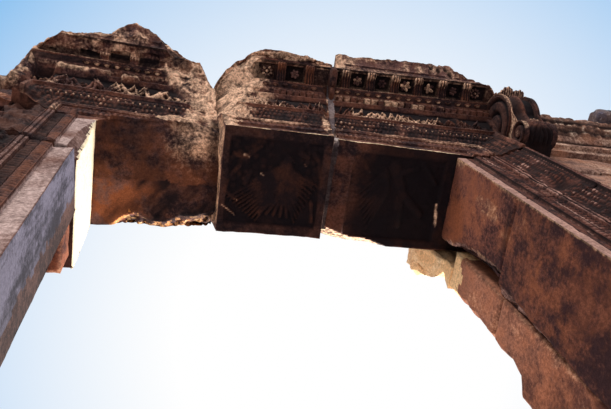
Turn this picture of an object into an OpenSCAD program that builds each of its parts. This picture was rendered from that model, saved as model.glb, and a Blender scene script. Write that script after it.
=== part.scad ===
// Ruined monumental temple doorway of ashlar limestone.
// Two moulded jambs carry a flat arch of three wedge blocks, the middle one slipped down.
// X runs along the wall, Y runs from the front face into the doorway, Z is up.
// The origin is on the ground, midway between the jambs, in the plane of the inner fascia.

/* [Doorway] */
// Clear width between the two reveals
opening_w = 6500; // [5000:10:7500]
// Clear height from the top of the threshold to the soffit of the side blocks
opening_h = 13000; // [12500:10:14000]
// Height of the threshold above the ground
threshold_h = 300; // [150:10:500]
// How far the threshold runs out in front of the inner fascia
threshold_front = 500; // [300:10:900]

/* [Frame] */
// Width of the plain inner fascia
fascia_w = 320; // [240:5:400]
// Width of the two rows of beads
beads_w = 320; // [240:5:400]
// Width of the double fillet
fillet_w = 120; // [80:5:160]
// Width of the vine band
vine_w = 490; // [400:5:600]
// Width of the outer rim
rim_w = 100; // [70:5:140]
// Projection of the bead rows in front of the fascia
beads_relief = 55; // [30:5:80]
// Projection of the double fillet
fillet_relief = 110; // [90:5:140]
// Projection of the outer rim
rim_relief = 345; // [280:5:420]

/* [Jambs] */
// Height of the plain foot of each jamb, above the ground
plinth_h = 1100; // [800:10:1400]
// How far the foot stands out past the rim
plinth_out = 60; // [30:5:100]
// Height of the lower stone of each jamb
jamb_lower_h = 4900; // [4000:10:5400]
// Height of the top stone of the left jamb
left_upper_h = 2000; // [1600:10:2400]
// Height of the top stone of the right jamb
right_upper_h = 2500; // [2100:10:2900]
// Depth of the left jamb below its top stone
left_leaf = 950; // [800:10:1200]
// Depth of the right jamb
right_leaf = 1600; // [1400:10:1750]
// How far the lower left stones stand back from the opening
left_setback = 50; // [20:5:80]
// Projection that is left of the vine band and the rim where they are broken on the left
left_broken = 100; // [60:5:160]
// Height above the soffit up to which they are broken
left_broken_h = 480; // [300:10:600]
// Depth of the rear block
rear_block_d = 750; // [500:10:900]

/* [Lintel blocks] */
// Depth of the three blocks from the inner fascia to the back
lintel_d = 1870; // [1750:10:2000]
// Width of the keystone at its lower face
key_w = 1880; // [1500:10:2200]
// Distance from the middle of the opening to the middle of the keystone's lower face, to the left
key_off = 150; // [0:10:250]
// How far the rear edge of the keystone has slipped down
key_drop = 400; // [200:10:600]
// Angle by which the keystone leans back at its head
key_tilt = 6; // [0:0.5:8]
// How far the lower edge of the keystone has moved forward
key_forward = 190; // [0:10:250]
// Widening of the keystone on its left side for each metre of height
key_flare_left = 55; // [40:5:90]
// Widening of the keystone on its right side for each metre of height
key_flare_right = 125; // [90:5:150]
// Width of the filled joint right of the keystone
right_joint = 110; // [80:1:160]
// How far the filling of that joint lies back from the front
mortar_back = 60; // [20:5:150]
// Length of the right block past the rim of the frame
right_block_past = 800; // [780:10:1000]
// Length of the left block past the rim of the frame
left_block_past = 450; // [300:10:600]
// Depth of the sunken panels in the soffits
panel_sink = 45; // [20:1:80]
// Width of the plain border round the sunken panels
panel_border = 170; // [120:5:240]

/* [Entablature] */
// Height of the carved frieze above the frame
frieze_h = 600; // [450:10:700]
// Projection of the frieze at its foot
frieze_foot = 280; // [200:5:320]
// Height of the dentil row with its bed
dentil_row_h = 200; // [160:5:260]
// Projection of the wall behind the dentils
dentil_bed = 560; // [520:5:600]
// Depth of one dentil
dentil_d = 90; // [60:5:160]
// Height of one dentil
dentil_h = 130; // [90:5:150]
// Width of one dentil
dentil_w = 108; // [60:1:112]
// Distance from one dentil to the next
dentil_pitch = 142; // [120:1:180]
// Height of the egg row
egg_h = 150; // [110:5:200]
// Projection of the egg row at its top
egg_proj = 800; // [760:5:860]
// Height of the strip behind the brackets
bracket_row_h = 160; // [130:5:200]
// Width of one bracket
bracket_w = 200; // [120:5:240]
// Distance from one bracket to the next
bracket_pitch = 550; // [400:1:640]
// Height of one bracket under the corona
bracket_h = 110; // [80:5:125]
// How far the brackets end behind the front of the corona
bracket_inset = 40; // [20:5:80]
// Distance from the edge of the left block to the middle of its first bracket
left_bracket_at = 490; // [150:10:640]
// Distance from the left edge of the keystone to the middle of its first bracket
key_bracket_at = 220; // [150:10:500]
// Distance from the edge of the right block to the middle of its first bracket
right_bracket_at = 240; // [150:10:500]
// Projection of the corona
corona_proj = 1200; // [1100:10:1300]
// Height of the corona face
corona_h = 160; // [110:5:220]
// Projection of the gutter moulding at its top
sima_proj = 1430; // [1330:10:1550]
// Height of the gutter moulding
sima_h = 330; // [220:10:420]

/* [Console] */
// Gap between the rim of the frame and the console
console_gap = 150; // [60:5:160]
// Width of the console along the wall
console_w = 600; // [450:10:620]
// Radius of the upper volute
volute_r = 660; // [560:10:700]
// Distance of the middle of the upper volute from the wall face
volute_out = 420; // [340:10:480]
// Radius of the lower scroll
scroll_r = 250; // [200:5:290]
// Distance of the middle of the lower scroll from the wall face
scroll_out = 470; // [380:10:500]
// Distance from the middle of the upper volute down to the middle of the lower scroll
volute_fall = 1110; // [1000:10:1200]
// Gap between the top of the upper volute and the corona
console_drop = 60; // [20:5:100]
// How far the leaf on the head of the console hangs out past the volute
leaf_out = 90; // [40:5:140]

/* [Walls] */
// Thickness of the wall
wall_t = 2300; // [2200:10:2600]
// Length of the right wall past the rim of the frame
right_wall_l = 3600; // [3000:10:4200]
// Length of the left wall past the rim of the frame
left_wall_l = 2800; // [2200:10:3400]
// Height of the plain course beside the lintel, above the soffit
upper_course_h = 1200; // [900:10:1400]
// Height of the moulded course on top of the right wall
band_h = 1300; // [900:10:1500]
// Projection of the moulded course at its top
band_proj = 620; // [450:10:700]
// Length of the standing stone at the end of the right wall
end_stone_l = 600; // [400:10:900]
// Height of the standing stone
end_stone_h = 750; // [500:10:900]
// How far the left wall's rough upper part stands out
rubble_out = 260; // [150:10:320]
// How far the rear half of the left wall stands back from the opening
left_rear_back = 650; // [500:10:900]
// Length of one block of the walls
ashlar_l = 1350; // [1000:10:1700]
// Greatest distance that the face of a block stands back from the face of the wall
ashlar_back = 60; // [20:5:100]

/* [Pilasters] */
// Width of the rear pilasters along the wall
pilaster_w = 1000; // [800:10:1100]
// How far the pilasters stand out behind the wall
pilaster_out = 60; // [30:5:120]
// How far the right pilaster stands back from the opening
pilaster_back = 50; // [20:5:90]
// Height of the pilaster base
pilaster_base_h = 900; // [700:10:1100]
// Height of the capital
capital_h = 1600; // [1300:10:1900]
// How far the foot of the capital lies below the soffit
capital_low = 700; // [500:10:800]
// Gap between the back of the lintel and the capital
capital_gap = 30; // [10:5:60]
// How far the abacus stands out past the shaft
abacus_out = 330; // [220:10:360]
// Distance from the soffit down to the rough boss on the right pilaster
boss_low = 3700; // [3300:10:4200]
// Height of the boss
boss_h = 1150; // [800:10:1400]
// How far the boss stands out past the shaft
boss_out = 320; // [200:10:330]
// Height of the piece that is left of the left pilaster, above its base
left_stump_h = 2300; // [1500:10:3000]

/* [Hidden] */

// Number of wall courses below the soffit
courses = 5;
// Straight steps in one curved moulding
curve_steps = 8;
// Straight steps in one arc of the console
arc_steps = 24;
// Length that cutting solids run past what they cut
past = 50;
// Drop of the level seat of the end stone below the full height of the band
seat_drop = 40;
// Small step between a curved moulding and the fillet beside it
lip = 40;
// Steps of the moulded course, as shares of its height and of its projection
band_steps = [[0, 0.18], [0.24, 0.32], [0.5, 0.4], [0.74, 0.85], [0.78, 1]];

half_w = opening_w / 2;
frame_w = fascia_w + beads_w + fillet_w + vine_w + rim_w;
rim_x = half_w + frame_w;
soffit_z = threshold_h + opening_h;
course_h = soffit_z / courses;

// Levels of the entablature above the soffit
frieze_top = frame_w + frieze_h;
dentil_top = frieze_top + dentil_row_h;
egg_top = dentil_top + egg_h;
corona_foot = egg_top + bracket_row_h;
corona_top = corona_foot + corona_h;
sima_top = corona_top + sima_h;
frieze_head = dentil_bed - lip;
egg_foot = dentil_bed + dentil_d + lip / 4;

// Edges of the keystone and of the blocks beside it, at the soffit
key_left = -key_off - key_w / 2;
key_right = -key_off + key_w / 2;
function key_left_at(z) = key_left - (z + key_drop) * key_flare_left / 1000;
function key_right_at(z) = key_right + (z + key_drop) * key_flare_right / 1000;
console_x = rim_x + console_gap;
right_block_end = rim_x + right_block_past;
left_block_end = -rim_x - left_block_past;
wall_right_end = rim_x + right_wall_l;
wall_left_end = -rim_x - left_wall_l;

stone = "#8f6a48";
pale_stone = "#b79a78";
dark_stone = "#4f3a2a";
mortar = "#9a9690";
gold_stone = "#c79a5c";

// S-curve from 0 to 1, used for the hollow and swelling mouldings
function ease(t) = (1 - cos(180 * t)) / 2;
function curve(w0, p0, w1, p1) =
    [for (i = [0:curve_steps])
        let (t = i / curve_steps) [w0 + (w1 - w0) * t, p0 + (p1 - p0) * ease(t)]];
function swell(w0, p0, w1, p1) =
    [for (i = [0:curve_steps])
        let (t = i / curve_steps) [w0 + (w1 - w0) * t, p0 + (p1 - p0) * sin(90 * t)]];

// Outline of the frame as pairs of distance from the opening and projection
fillet_end = fascia_w + beads_w + fillet_w;
frame_line = concat(
    [[0, 0], [fascia_w, 0], [fascia_w, beads_relief], [fascia_w + beads_w, beads_relief],
     [fascia_w + beads_w, fillet_relief], [fillet_end, fillet_relief]],
    curve(fillet_end, fillet_relief, fillet_end + vine_w, rim_relief - lip),
    [[fillet_end + vine_w, rim_relief], [frame_w, rim_relief]]);

// Outline of the entablature above the frame, in the same pairs
cornice_line = concat(
    swell(frame_w, frieze_foot, frieze_top, frieze_head),
    [[frieze_top, dentil_bed], [dentil_top, dentil_bed]],
    swell(dentil_top, egg_foot, egg_top, egg_proj),
    [[corona_foot, egg_proj], [corona_foot, corona_proj], [corona_top, corona_proj]],
    curve(corona_top, corona_proj + lip / 2, sima_top, sima_proj));

// Outline above the consoles, where only the corona and the gutter run on
head_line = concat(
    [[frame_w, 0], [corona_foot, 0], [corona_foot, corona_proj], [corona_top, corona_proj]],
    curve(corona_top, corona_proj + lip / 2, sima_top, sima_proj));

// Outline of the stepped mouldings on top of the right wall
function band_at(i, j) = [band_h * band_steps[i][0], band_proj * band_steps[j][1]];
band_line = concat(
    [[0, 0], band_at(0, 0), band_at(1, 0), band_at(1, 1), band_at(2, 1)],
    curve(band_h * band_steps[2][0], band_proj * band_steps[2][1],
          band_h * band_steps[3][0], band_proj * band_steps[3][1]),
    [band_at(4, 4), [band_h, band_proj]]);

// Turns an outline of pairs into a section in Y and Z, closed at a depth
function section(line, depth) =
    concat([for (p = line) [-p[1], p[0]]], [[depth, line[len(line) - 1][0]], [depth, line[0][0]]]);

// Turns an outline of pairs into a plan in X and Y, closed at a depth
function plan(line, depth) =
    concat([for (p = line) [p[0], -p[1]]], [[line[len(line) - 1][0], depth], [line[0][0], depth]]);

// A section in Y and Z drawn out along X
module along_x(x0, x1) {
    translate([x0, 0, 0])
        rotate([90, 0, 90])
            linear_extrude(x1 - x0)
                children();
}

// An outline in X and Z drawn out along Y
module along_y(y0, y1) {
    translate([0, y1, 0])
        rotate([90, 0, 0])
            linear_extrude(y1 - y0)
                children();
}

// A box between two corners
module block(a, b) {
    translate(a)
        cube(b - a);
}

module mirrored() {
    mirror([1, 0, 0])
        children();
}

// One stone of a jamb between two heights, cut back from the opening by setback
module jamb_stone(z0, z1, depth, setback = 0) {
    difference() {
        translate([half_w, 0, z0])
            linear_extrude(z1 - z0)
                polygon(plan(frame_line, depth));
        block([half_w - past, -past, z0 - past], [half_w + setback, depth + past, z1 + past]);
    }
}

module jamb_plinth(depth) {
    block([half_w, -rim_relief - plinth_out, 0], [rim_x, depth, plinth_h]);
}

// Threshold between the two jambs
module threshold() {
    color(pale_stone)
        block([-half_w, -threshold_front, 0], [half_w, right_leaf, threshold_h]);
}

module right_jamb_plinth() {
    color(stone)
        jamb_plinth(right_leaf);
}

module right_jamb_lower() {
    color(stone)
        jamb_stone(plinth_h, plinth_h + jamb_lower_h, right_leaf);
}

module right_jamb_middle() {
    color(stone)
        jamb_stone(plinth_h + jamb_lower_h, soffit_z - right_upper_h, right_leaf);
}

// The top stone of the right jamb has lost its rear edge beside the opening
module right_jamb_upper() {
    bite_d = right_leaf * 0.15;
    bite_l = frame_w * 0.5;
    color(stone)
        difference() {
            jamb_stone(soffit_z - right_upper_h, soffit_z, right_leaf);
            translate([half_w - past, 0, soffit_z - right_upper_h])
                rotate([90, 0, 90])
                    linear_extrude(bite_l)
                        polygon([[right_leaf + past, -past], [right_leaf - bite_d, -past],
                                 [right_leaf - bite_d, right_upper_h * 0.45],
                                 [right_leaf + past, right_upper_h * 0.8]]);
        }
}

module left_jamb_plinth() {
    color(stone)
        mirrored()
            jamb_plinth(left_leaf);
}

module left_jamb_lower() {
    color(pale_stone)
        mirrored()
            jamb_stone(plinth_h, plinth_h + jamb_lower_h, left_leaf, left_setback);
}

module left_jamb_middle() {
    color(pale_stone)
        mirrored()
            jamb_stone(plinth_h + jamb_lower_h, soffit_z - left_upper_h, left_leaf, left_setback);
}

// What is broken off the vine band and the rim on the left, between two heights
module left_band_loss(z0, z1) {
    block([half_w + fillet_end + lip, -rim_relief - past, z0], [rim_x + past, -left_broken, z1]);
}

// The top stone of the left jamb runs the full depth of the lintel. It is chipped at the front and
// has lost its outer bands.
module left_jamb_upper() {
    chip = fascia_w * 0.45;
    color(pale_stone)
        mirrored()
            difference() {
                jamb_stone(soffit_z - left_upper_h, soffit_z, lintel_d);
                translate([half_w, 0, soffit_z - left_upper_h - past])
                    linear_extrude(left_upper_h * 0.85)
                        polygon([[-past, -past], [chip, -past], [-past, chip]]);
                left_band_loss(soffit_z - left_upper_h - past, soffit_z + past);
            }
}

// Rear block between the left top stone and the joint of the top course, carried by the rear half
// of the wall and hanging over the opening
module left_rear_block() {
    color(dark_stone)
        block([-rim_x, left_leaf, soffit_z - course_h],
              [-half_w - left_setback, left_leaf + rear_block_d, soffit_z - left_upper_h]);
}

// Frame and entablature along the opening from x0 on, with the upright part of the frame at
// its end, a plain face behind the console, and the cornice over it up to x1
module lintel_solid(x0, x1) {
    along_x(x0, rim_x)
        polygon(section(frame_line, lintel_d));
    translate([half_w, 0, 0])
        linear_extrude(frame_w)
            polygon(plan(frame_line, lintel_d));
    along_x(rim_x - past, x1)
        square([lintel_d, frame_w]);
    along_x(x0, console_x)
        polygon(section(cornice_line, lintel_d));
    along_x(console_x - past, x1)
        polygon(section(head_line, lintel_d));
}

// Dentils from x0 to x1
module dentils(x0, x1) {
    for (x = [x0 + dentil_pitch / 2 : dentil_pitch : x1 - dentil_w])
        block([x, -dentil_bed - dentil_d, dentil_top - dentil_h],
              [x + dentil_w, -dentil_bed + past, dentil_top + past / 2]);
}

// Brackets that are left, by their numbers from the one whose middle lies at first on
module brackets(first, left) {
    for (k = left)
        translate([first - bracket_w / 2 + k * bracket_pitch, 0, 0])
            block([0, -corona_proj + bracket_inset, corona_foot - bracket_h],
                  [bracket_w, -egg_proj + past, corona_foot + past / 2]);
}

// Outline in X and Z of a block whose top is broken. Each break is a pair of the share of the
// length and the drop below the full height.
function broken_top(x0, x1, top, breaks) = [for (b = breaks) [x0 + (x1 - x0) * b[0], top - b[1]]];

// Outline in X and Y of a broken front edge, as pairs of the share of the length and of the projection
function broken_front(x0, x1, back, breaks) =
    concat([[x0, back]], [for (b = breaks) [x0 + (x1 - x0) * b[0], -b[1]]], [[x1, back]]);

// The right block, from the filled joint to past the console. Its lower rear edge is broken beside
// the joint.
module lintel_right() {
    foot = key_right_at(0) + right_joint;
    head = key_right_at(sima_top) + right_joint;
    first = key_right_at(corona_foot) + right_joint + right_bracket_at;
    top = broken_top(head, right_block_end, sima_top,
        [[0, 10], [0.22, 50], [0.45, 30], [0.62, 10], [0.7, 60], [0.76, 310], [0.86, 290], [1, 420]]);
    loss_l = 1350;
    loss_d = 310;
    loss_h = 600;
    color(stone)
        translate([0, 0, soffit_z])
            difference() {
                intersection() {
                    union() {
                        lintel_solid(foot, right_block_end);
                        dentils(foot, console_x);
                        brackets(first, [0 : floor((console_x - bracket_w / 2 - first) / bracket_pitch)]);
                    }
                    along_y(-sima_proj - past, lintel_d + past)
                        polygon(concat([[right_block_end, 0], [foot, 0]], top));
                }
                block([foot + panel_border, panel_border, -past],
                      [half_w - panel_border, lintel_d - panel_border, panel_sink]);
                translate([0, 0, -past])
                    linear_extrude(loss_h + past)
                        polygon([[foot - past, lintel_d - loss_d],
                                 [foot + loss_l * 0.4, lintel_d - loss_d * 0.4],
                                 [foot + loss_l, lintel_d + past], [foot - past, lintel_d + past]]);
            }
}

// The slipped keystone, with its sunken panel and a front edge that is broken on the left. It leans
// back, so that its lower edge is lower at the rear and stands forward of the other blocks.
module lintel_keystone() {
    foot_z = -key_drop - past;
    head_z = corona_top + sima_h * 0.25;
    x0 = key_left_at(head_z);
    x1 = key_right_at(head_z);
    front = broken_front(x0, x1, lintel_d + sima_proj,
        [[0, 400], [0.1, 770], [0.2, 1010], [0.34, 1190], [0.5, 1310], [0.72, 1250], [1, 1150]]);
    color(dark_stone)
        translate([0, 0, soffit_z])
            intersection() {
                translate([0, -key_forward, lintel_d * sin(key_tilt) - key_drop])
                    rotate([-key_tilt, 0, 0])
                        difference() {
                            union() {
                                along_x(x0, x1)
                                    polygon(section(frame_line, lintel_d));
                                along_x(x0, x1)
                                    polygon(section(cornice_line, lintel_d));
                                dentils(x0, x1);
                                brackets(key_left_at(corona_foot - key_drop) + key_bracket_at, [2, 3]);
                            }
                            block([key_left + panel_border, panel_border, -past],
                                  [key_right - panel_border, lintel_d - panel_border, panel_sink]);
                        }
                along_y(-sima_proj - past, lintel_d + sima_proj)
                    polygon([[key_left_at(foot_z), foot_z], [x0, head_z], [x1, head_z],
                             [key_right_at(foot_z), foot_z]]);
                translate([0, 0, foot_z])
                    linear_extrude(head_z - foot_z + past)
                        polygon(front);
            }
}

// The left block has lost its far end, its gutter, its lower front edge, its lower right corner and
// the outer bands at its lower left corner.
// The spall at that corner has its length at the bed of the dentils and at the fillet.
module lintel_left() {
    foot = key_left_at(0);
    head = key_left_at(sima_top);
    top = broken_top(left_block_end, head, sima_top + 100,
        [[0, 700], [0.1, 470], [0.3, 380], [0.43, 270], [0.52, 30], [0.64, 110], [0.8, 380], [1, 600]]);
    spall = [800, 620];
    front = broken_front(left_block_end, foot, lintel_d + past,
        [[0, 300], [0.06, 760], [0.2, 1100], [0.42, 1130], [0.52, 1400], [0.62, 1300],
         [0.8, 900], [0.93, 700], [1, 280]]);
    color(stone)
        translate([0, 0, soffit_z])
            difference() {
                intersection() {
                    mirrored() {
                        lintel_solid(-foot - past, -left_block_end);
                        dentils(-foot - past, console_x);
                        brackets(-key_left_at(corona_foot) + left_bracket_at, [2, 3]);
                    }
                    along_y(-sima_proj - past, lintel_d + past)
                        polygon(concat([[left_block_end, 0]], top, [[foot, 0]]));
                    linear_extrude(sima_top + 100)
                        polygon(front);
                }
                along_x(-half_w + fascia_w, foot + past)
                    polygon([[-rim_relief - past, -past], [-rim_relief - past, fascia_w + beads_w],
                             [-beads_relief, fascia_w + beads_w], [lintel_d * 0.15, fascia_w * 0.8],
                             [lintel_d * 0.6, -past]]);
                translate([0, 0, -past])
                    linear_extrude(frieze_top + past)
                        polygon([[foot - spall[0], -dentil_bed], [foot - spall[1], -fillet_relief],
                                 [foot + past, past], [foot + past, -dentil_bed]]);
                mirrored()
                    left_band_loss(-past, left_broken_h);
            }
}

// Grey mortar in the joint right of the keystone. It follows the front of the blocks and lies
// back from it.
module joint_mortar() {
    top_z = corona_foot;
    back = 2 * mortar_back;
    line = [[0, -mortar_back], [frame_w, rim_relief - back], [frieze_top, frieze_head - back],
            [top_z, egg_proj - back]];
    color(mortar)
        translate([0, 0, soffit_z])
            intersection() {
                along_x(key_right_at(0), key_right_at(top_z) + right_joint)
                    polygon(section(line, lintel_d - 4 * mortar_back));
                along_y(-egg_proj, lintel_d)
                    polygon([[key_right_at(0), 0], [key_right_at(top_z), top_z],
                             [key_right_at(top_z) + right_joint, top_z], [key_right_at(0) + right_joint, 0]]);
            }
}

// Points along an arc round a middle, from one angle to another
function arc(mid, r, from, to) =
    [for (i = [0:arc_steps])
        let (a = from + (to - from) * i / arc_steps) [mid[0] + r * cos(a), mid[1] + r * sin(a)]];

// S-shaped console that hangs beside the frame under the cornice, with a leaf on its head
module right_console() {
    scroll_z = corona_foot - volute_r - console_drop - volute_fall;
    volute_z = scroll_z + volute_fall;
    tip = volute_out + volute_r + leaf_out;
    color(dark_stone)
        translate([0, 0, soffit_z])
            along_x(console_x, console_x + console_w)
                polygon(concat([[0, corona_foot], [-volute_out, corona_foot],
                                [-volute_out - volute_r * 0.8, corona_foot - console_drop],
                                [-tip, volute_z + volute_r * 0.8], [-tip, volute_z + volute_r * 0.6]],
                               arc([-volute_out, volute_z], volute_r, 150, 232),
                               arc([-scroll_out, scroll_z], scroll_r, 140, 268),
                               [[0, scroll_z - scroll_r]]));
}

// Broken stub of the lost left console, with the outline of its break as pairs of projection and height
module left_console_stump() {
    break = [[0, 500], [-130, 560], [-200, 820], [-150, 1060], [0, 1150]];
    color(stone)
        translate([0, 0, soffit_z])
            along_x(left_block_end, -rim_x - console_gap * 0.4)
                polygon(break);
}

// Cuts that set the faces of the blocks of one course back by different depths, in two rows whose
// blocks break joint, on the front and on the rear of a wall that starts at x0
module ashlar_cuts(n, x0, length) {
    row_h = course_h / 2;
    for (row = [0, 1], k = [0 : ceil(length / ashlar_l)]) {
        x = x0 + (k - row / 2) * ashlar_l;
        z = (n - 1) * course_h + row * row_h;
        front = ashlar_back * ((2 * n + 3 * k + row) % 4) / 3;
        rear = ashlar_back * ((n + 2 * k + 3 * row) % 4) / 3;
        if (front > 0)
            block([x, -past, z], [x + ashlar_l, front, z + row_h]);
        if (rear > 0)
            block([x, wall_t - rear, z], [x + ashlar_l, wall_t + past, z + row_h]);
    }
}

// One course of the right wall, with a step that takes the pilaster
module right_wall_course(n) {
    side_x = half_w + pilaster_back + pilaster_w;
    color(stone)
        difference() {
            translate([0, 0, (n - 1) * course_h])
                linear_extrude(course_h)
                    polygon([[rim_x, 0], [wall_right_end, 0], [wall_right_end, wall_t],
                             [side_x, wall_t], [side_x, right_leaf], [rim_x, right_leaf]]);
            ashlar_cuts(n, side_x, wall_right_end - side_x);
        }
}

// One course of the left wall, whose rear half stands back from the opening. The top course makes
// room for the top stone of the jamb and for the rear block.
module left_wall_course(n) {
    back_x = half_w + left_rear_back;
    color(stone)
        mirrored()
            difference() {
                translate([0, 0, (n - 1) * course_h])
                    linear_extrude(course_h)
                        polygon([[rim_x, 0], [-wall_left_end, 0], [-wall_left_end, wall_t],
                                 [back_x, wall_t], [back_x, left_leaf], [rim_x, left_leaf]]);
                block([half_w, 0, soffit_z - left_upper_h], [rim_x, lintel_d, soffit_z + past]);
                block([half_w, 0, soffit_z - course_h],
                      [rim_x, left_leaf + rear_block_d, soffit_z + past]);
                ashlar_cuts(n, back_x, -wall_left_end - back_x);
            }
}

// Plain course of the right wall beside the lintel block
module right_wall_upper() {
    color(stone)
        block([right_block_end, 0, soffit_z], [wall_right_end, wall_t, soffit_z + upper_course_h]);
}

// Moulded course on the right wall, with a broken top
module right_wall_band() {
    foot = soffit_z + upper_course_h;
    top = broken_top(right_block_end, wall_right_end - end_stone_l, band_h,
        [[0, 60], [0.25, 0], [0.55, 70], [0.85, 10], [1, seat_drop]]);
    color(pale_stone)
        translate([0, 0, foot])
            intersection() {
                along_x(right_block_end, wall_right_end)
                    polygon(section(band_line, wall_t));
                along_y(-band_proj - past, wall_t + past)
                    polygon(concat([[right_block_end, 0]], top,
                                   [[wall_right_end, band_h - seat_drop], [wall_right_end, 0]]));
            }
}

// Rough stone left standing on the end of the right wall
module right_end_stone() {
    foot = soffit_z + upper_course_h + band_h - seat_drop;
    color(dark_stone)
        translate([0, 0, foot])
            along_x(wall_right_end - end_stone_l, wall_right_end)
                polygon([[-band_proj * 1.4, 0], [-band_proj * 1.5, end_stone_h * 0.5],
                         [-band_proj * 1.1, end_stone_h],
                         [wall_t * 0.3, end_stone_h * 0.9], [wall_t * 0.45, 0]]);
}

// Rough upper part of the left wall beside the broken lintel block
module left_wall_upper() {
    top = upper_course_h + band_h;
    color(stone)
        translate([0, 0, soffit_z])
            along_x(wall_left_end, left_block_end)
                polygon([[0, 0], [-rubble_out * 0.5, 200],
                         [-rubble_out, top * 0.45], [-rubble_out * 0.9, top * 0.8],
                         [0, top], [wall_t * 0.6, top * 0.94], [wall_t, top * 0.8], [wall_t, 0]]);
}

module pilaster_stone(z0, z1) {
    block([half_w + pilaster_back, right_leaf, z0],
          [half_w + pilaster_back + pilaster_w, wall_t + pilaster_out, z1]);
}

module pilaster_base() {
    out = pilaster_out;
    block([half_w + pilaster_back, right_leaf, 0],
          [half_w + pilaster_back + pilaster_w, wall_t + 3 * out, pilaster_base_h * 0.7]);
    block([half_w + pilaster_back, right_leaf, pilaster_base_h * 0.7],
          [half_w + pilaster_back + pilaster_w, wall_t + 2 * out, pilaster_base_h]);
}

module right_pilaster_base() {
    color(stone)
        pilaster_base();
}

module right_pilaster_lower() {
    color(stone)
        pilaster_stone(pilaster_base_h, course_h * 2);
}

// The middle stones, with a rough boss that was never cut back
module right_pilaster_middle() {
    back_y = wall_t + pilaster_out;
    x0 = half_w + pilaster_back;
    color(stone) {
        pilaster_stone(course_h * 2, course_h * 4);
        along_x(x0, x0 + pilaster_w)
            translate([back_y, soffit_z - boss_low - boss_h])
                polygon([[-past, 0], [0, 0], [boss_out * 0.8, boss_h * 0.15], [boss_out, boss_h * 0.6],
                         [boss_out * 0.85, boss_h * 0.85], [0, boss_h], [-past, boss_h]]);
    }
}

module right_pilaster_upper() {
    color(stone)
        pilaster_stone(course_h * 4, soffit_z - capital_low);
}

// Broken capital: a bell that flares to a hollow-sided abacus
module right_pilaster_capital() {
    x0 = half_w + pilaster_back;
    x1 = x0 + pilaster_w;
    y0 = lintel_d + capital_gap;
    y1 = wall_t + pilaster_out;
    bell = capital_h * 0.78;
    waist = bell * 0.3;
    flare = [abacus_out * 0.4, bell * 0.75];
    color(gold_stone)
        translate([0, 0, soffit_z - capital_low]) {
            intersection() {
                along_y(y0, y1 + abacus_out)
                    polygon([[x0, 0], [x0, waist], [x0 - flare[0], flare[1]],
                             [x0 - abacus_out, bell], [x1, bell], [x1, 0]]);
                along_x(x0 - abacus_out, x1)
                    polygon([[y0, 0], [y1, 0], [y1, waist], [y1 + flare[0], flare[1]],
                             [y1 + abacus_out, bell], [y0, bell]]);
            }
            translate([0, 0, bell])
                linear_extrude(capital_h - bell)
                    difference() {
                        translate([x0 - abacus_out, y0])
                            square([x1 - x0 + abacus_out, y1 - y0 + abacus_out]);
                        translate([(x0 + x1) / 2, y1 + abacus_out + pilaster_w * 0.42])
                            circle(d = pilaster_w, $fn = 64);
                    }
        }
}

module left_pilaster_base() {
    color(stone)
        mirrored()
            left_rear_trim()
                pilaster_base();
}

module left_pilaster_stump() {
    color(stone)
        mirrored()
            left_rear_trim()
                difference() {
                    pilaster_stone(pilaster_base_h, pilaster_base_h + left_stump_h);
                    along_y(right_leaf - past, wall_t + pilaster_out + past)
                        polygon([[half_w, pilaster_base_h + left_stump_h * 0.55],
                                 [half_w + pilaster_w * 0.4, pilaster_base_h + left_stump_h * 0.7],
                                 [half_w + pilaster_w + past * 2, pilaster_base_h + left_stump_h + past],
                                 [half_w, pilaster_base_h + left_stump_h + past]]);
                }
}

// The left pilaster stops at the rear half of the wall
module left_rear_trim() {
    intersection() {
        children();
        block([half_w, right_leaf - past, -past], [half_w + left_rear_back, 2 * wall_t, soffit_z]);
    }
}

threshold();
right_jamb_plinth();
right_jamb_lower();
right_jamb_middle();
right_jamb_upper();
left_jamb_plinth();
left_jamb_lower();
left_jamb_middle();
left_jamb_upper();
left_rear_block();
lintel_left();
lintel_keystone();
lintel_right();
joint_mortar();
right_console();
left_console_stump();
right_wall_course(1);  // right_wall_course_1
right_wall_course(2);  // right_wall_course_2
right_wall_course(3);  // right_wall_course_3
right_wall_course(4);  // right_wall_course_4
right_wall_course(5);  // right_wall_course_5
left_wall_course(1);  // left_wall_course_1
left_wall_course(2);  // left_wall_course_2
left_wall_course(3);  // left_wall_course_3
left_wall_course(4);  // left_wall_course_4
left_wall_course(5);  // left_wall_course_5
right_wall_upper();
right_wall_band();
right_end_stone();
left_wall_upper();
right_pilaster_base();
right_pilaster_lower();
right_pilaster_middle();
right_pilaster_upper();
right_pilaster_capital();
left_pilaster_base();
left_pilaster_stump();
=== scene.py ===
"""Ruined stone temple doorway: the carved and weathered surfaces over its solids."""
import math
from itertools import product

import bmesh
import bpy
import numpy as np
from mathutils import Matrix, Vector


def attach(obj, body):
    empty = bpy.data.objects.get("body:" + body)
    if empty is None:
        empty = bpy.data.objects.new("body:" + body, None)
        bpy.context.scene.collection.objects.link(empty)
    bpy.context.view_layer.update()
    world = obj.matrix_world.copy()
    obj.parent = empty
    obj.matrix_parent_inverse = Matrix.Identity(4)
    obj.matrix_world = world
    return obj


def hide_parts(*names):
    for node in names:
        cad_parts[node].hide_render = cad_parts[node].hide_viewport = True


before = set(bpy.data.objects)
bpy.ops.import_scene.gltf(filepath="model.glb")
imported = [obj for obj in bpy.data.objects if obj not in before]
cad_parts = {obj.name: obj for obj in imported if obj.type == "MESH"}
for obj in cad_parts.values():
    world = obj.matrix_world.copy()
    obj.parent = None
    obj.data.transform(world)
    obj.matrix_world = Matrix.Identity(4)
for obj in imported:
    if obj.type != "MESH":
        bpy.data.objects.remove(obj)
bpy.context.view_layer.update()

# Sizes of the doorway in metres
SOFFIT = 13.30
HALF = 3.25
FRAME_W = 1.35
RIM_X = HALF + FRAME_W
DEPTH = 1.87
KEY_DROP = 0.40
KEY_LEAN = math.radians(6)
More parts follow.
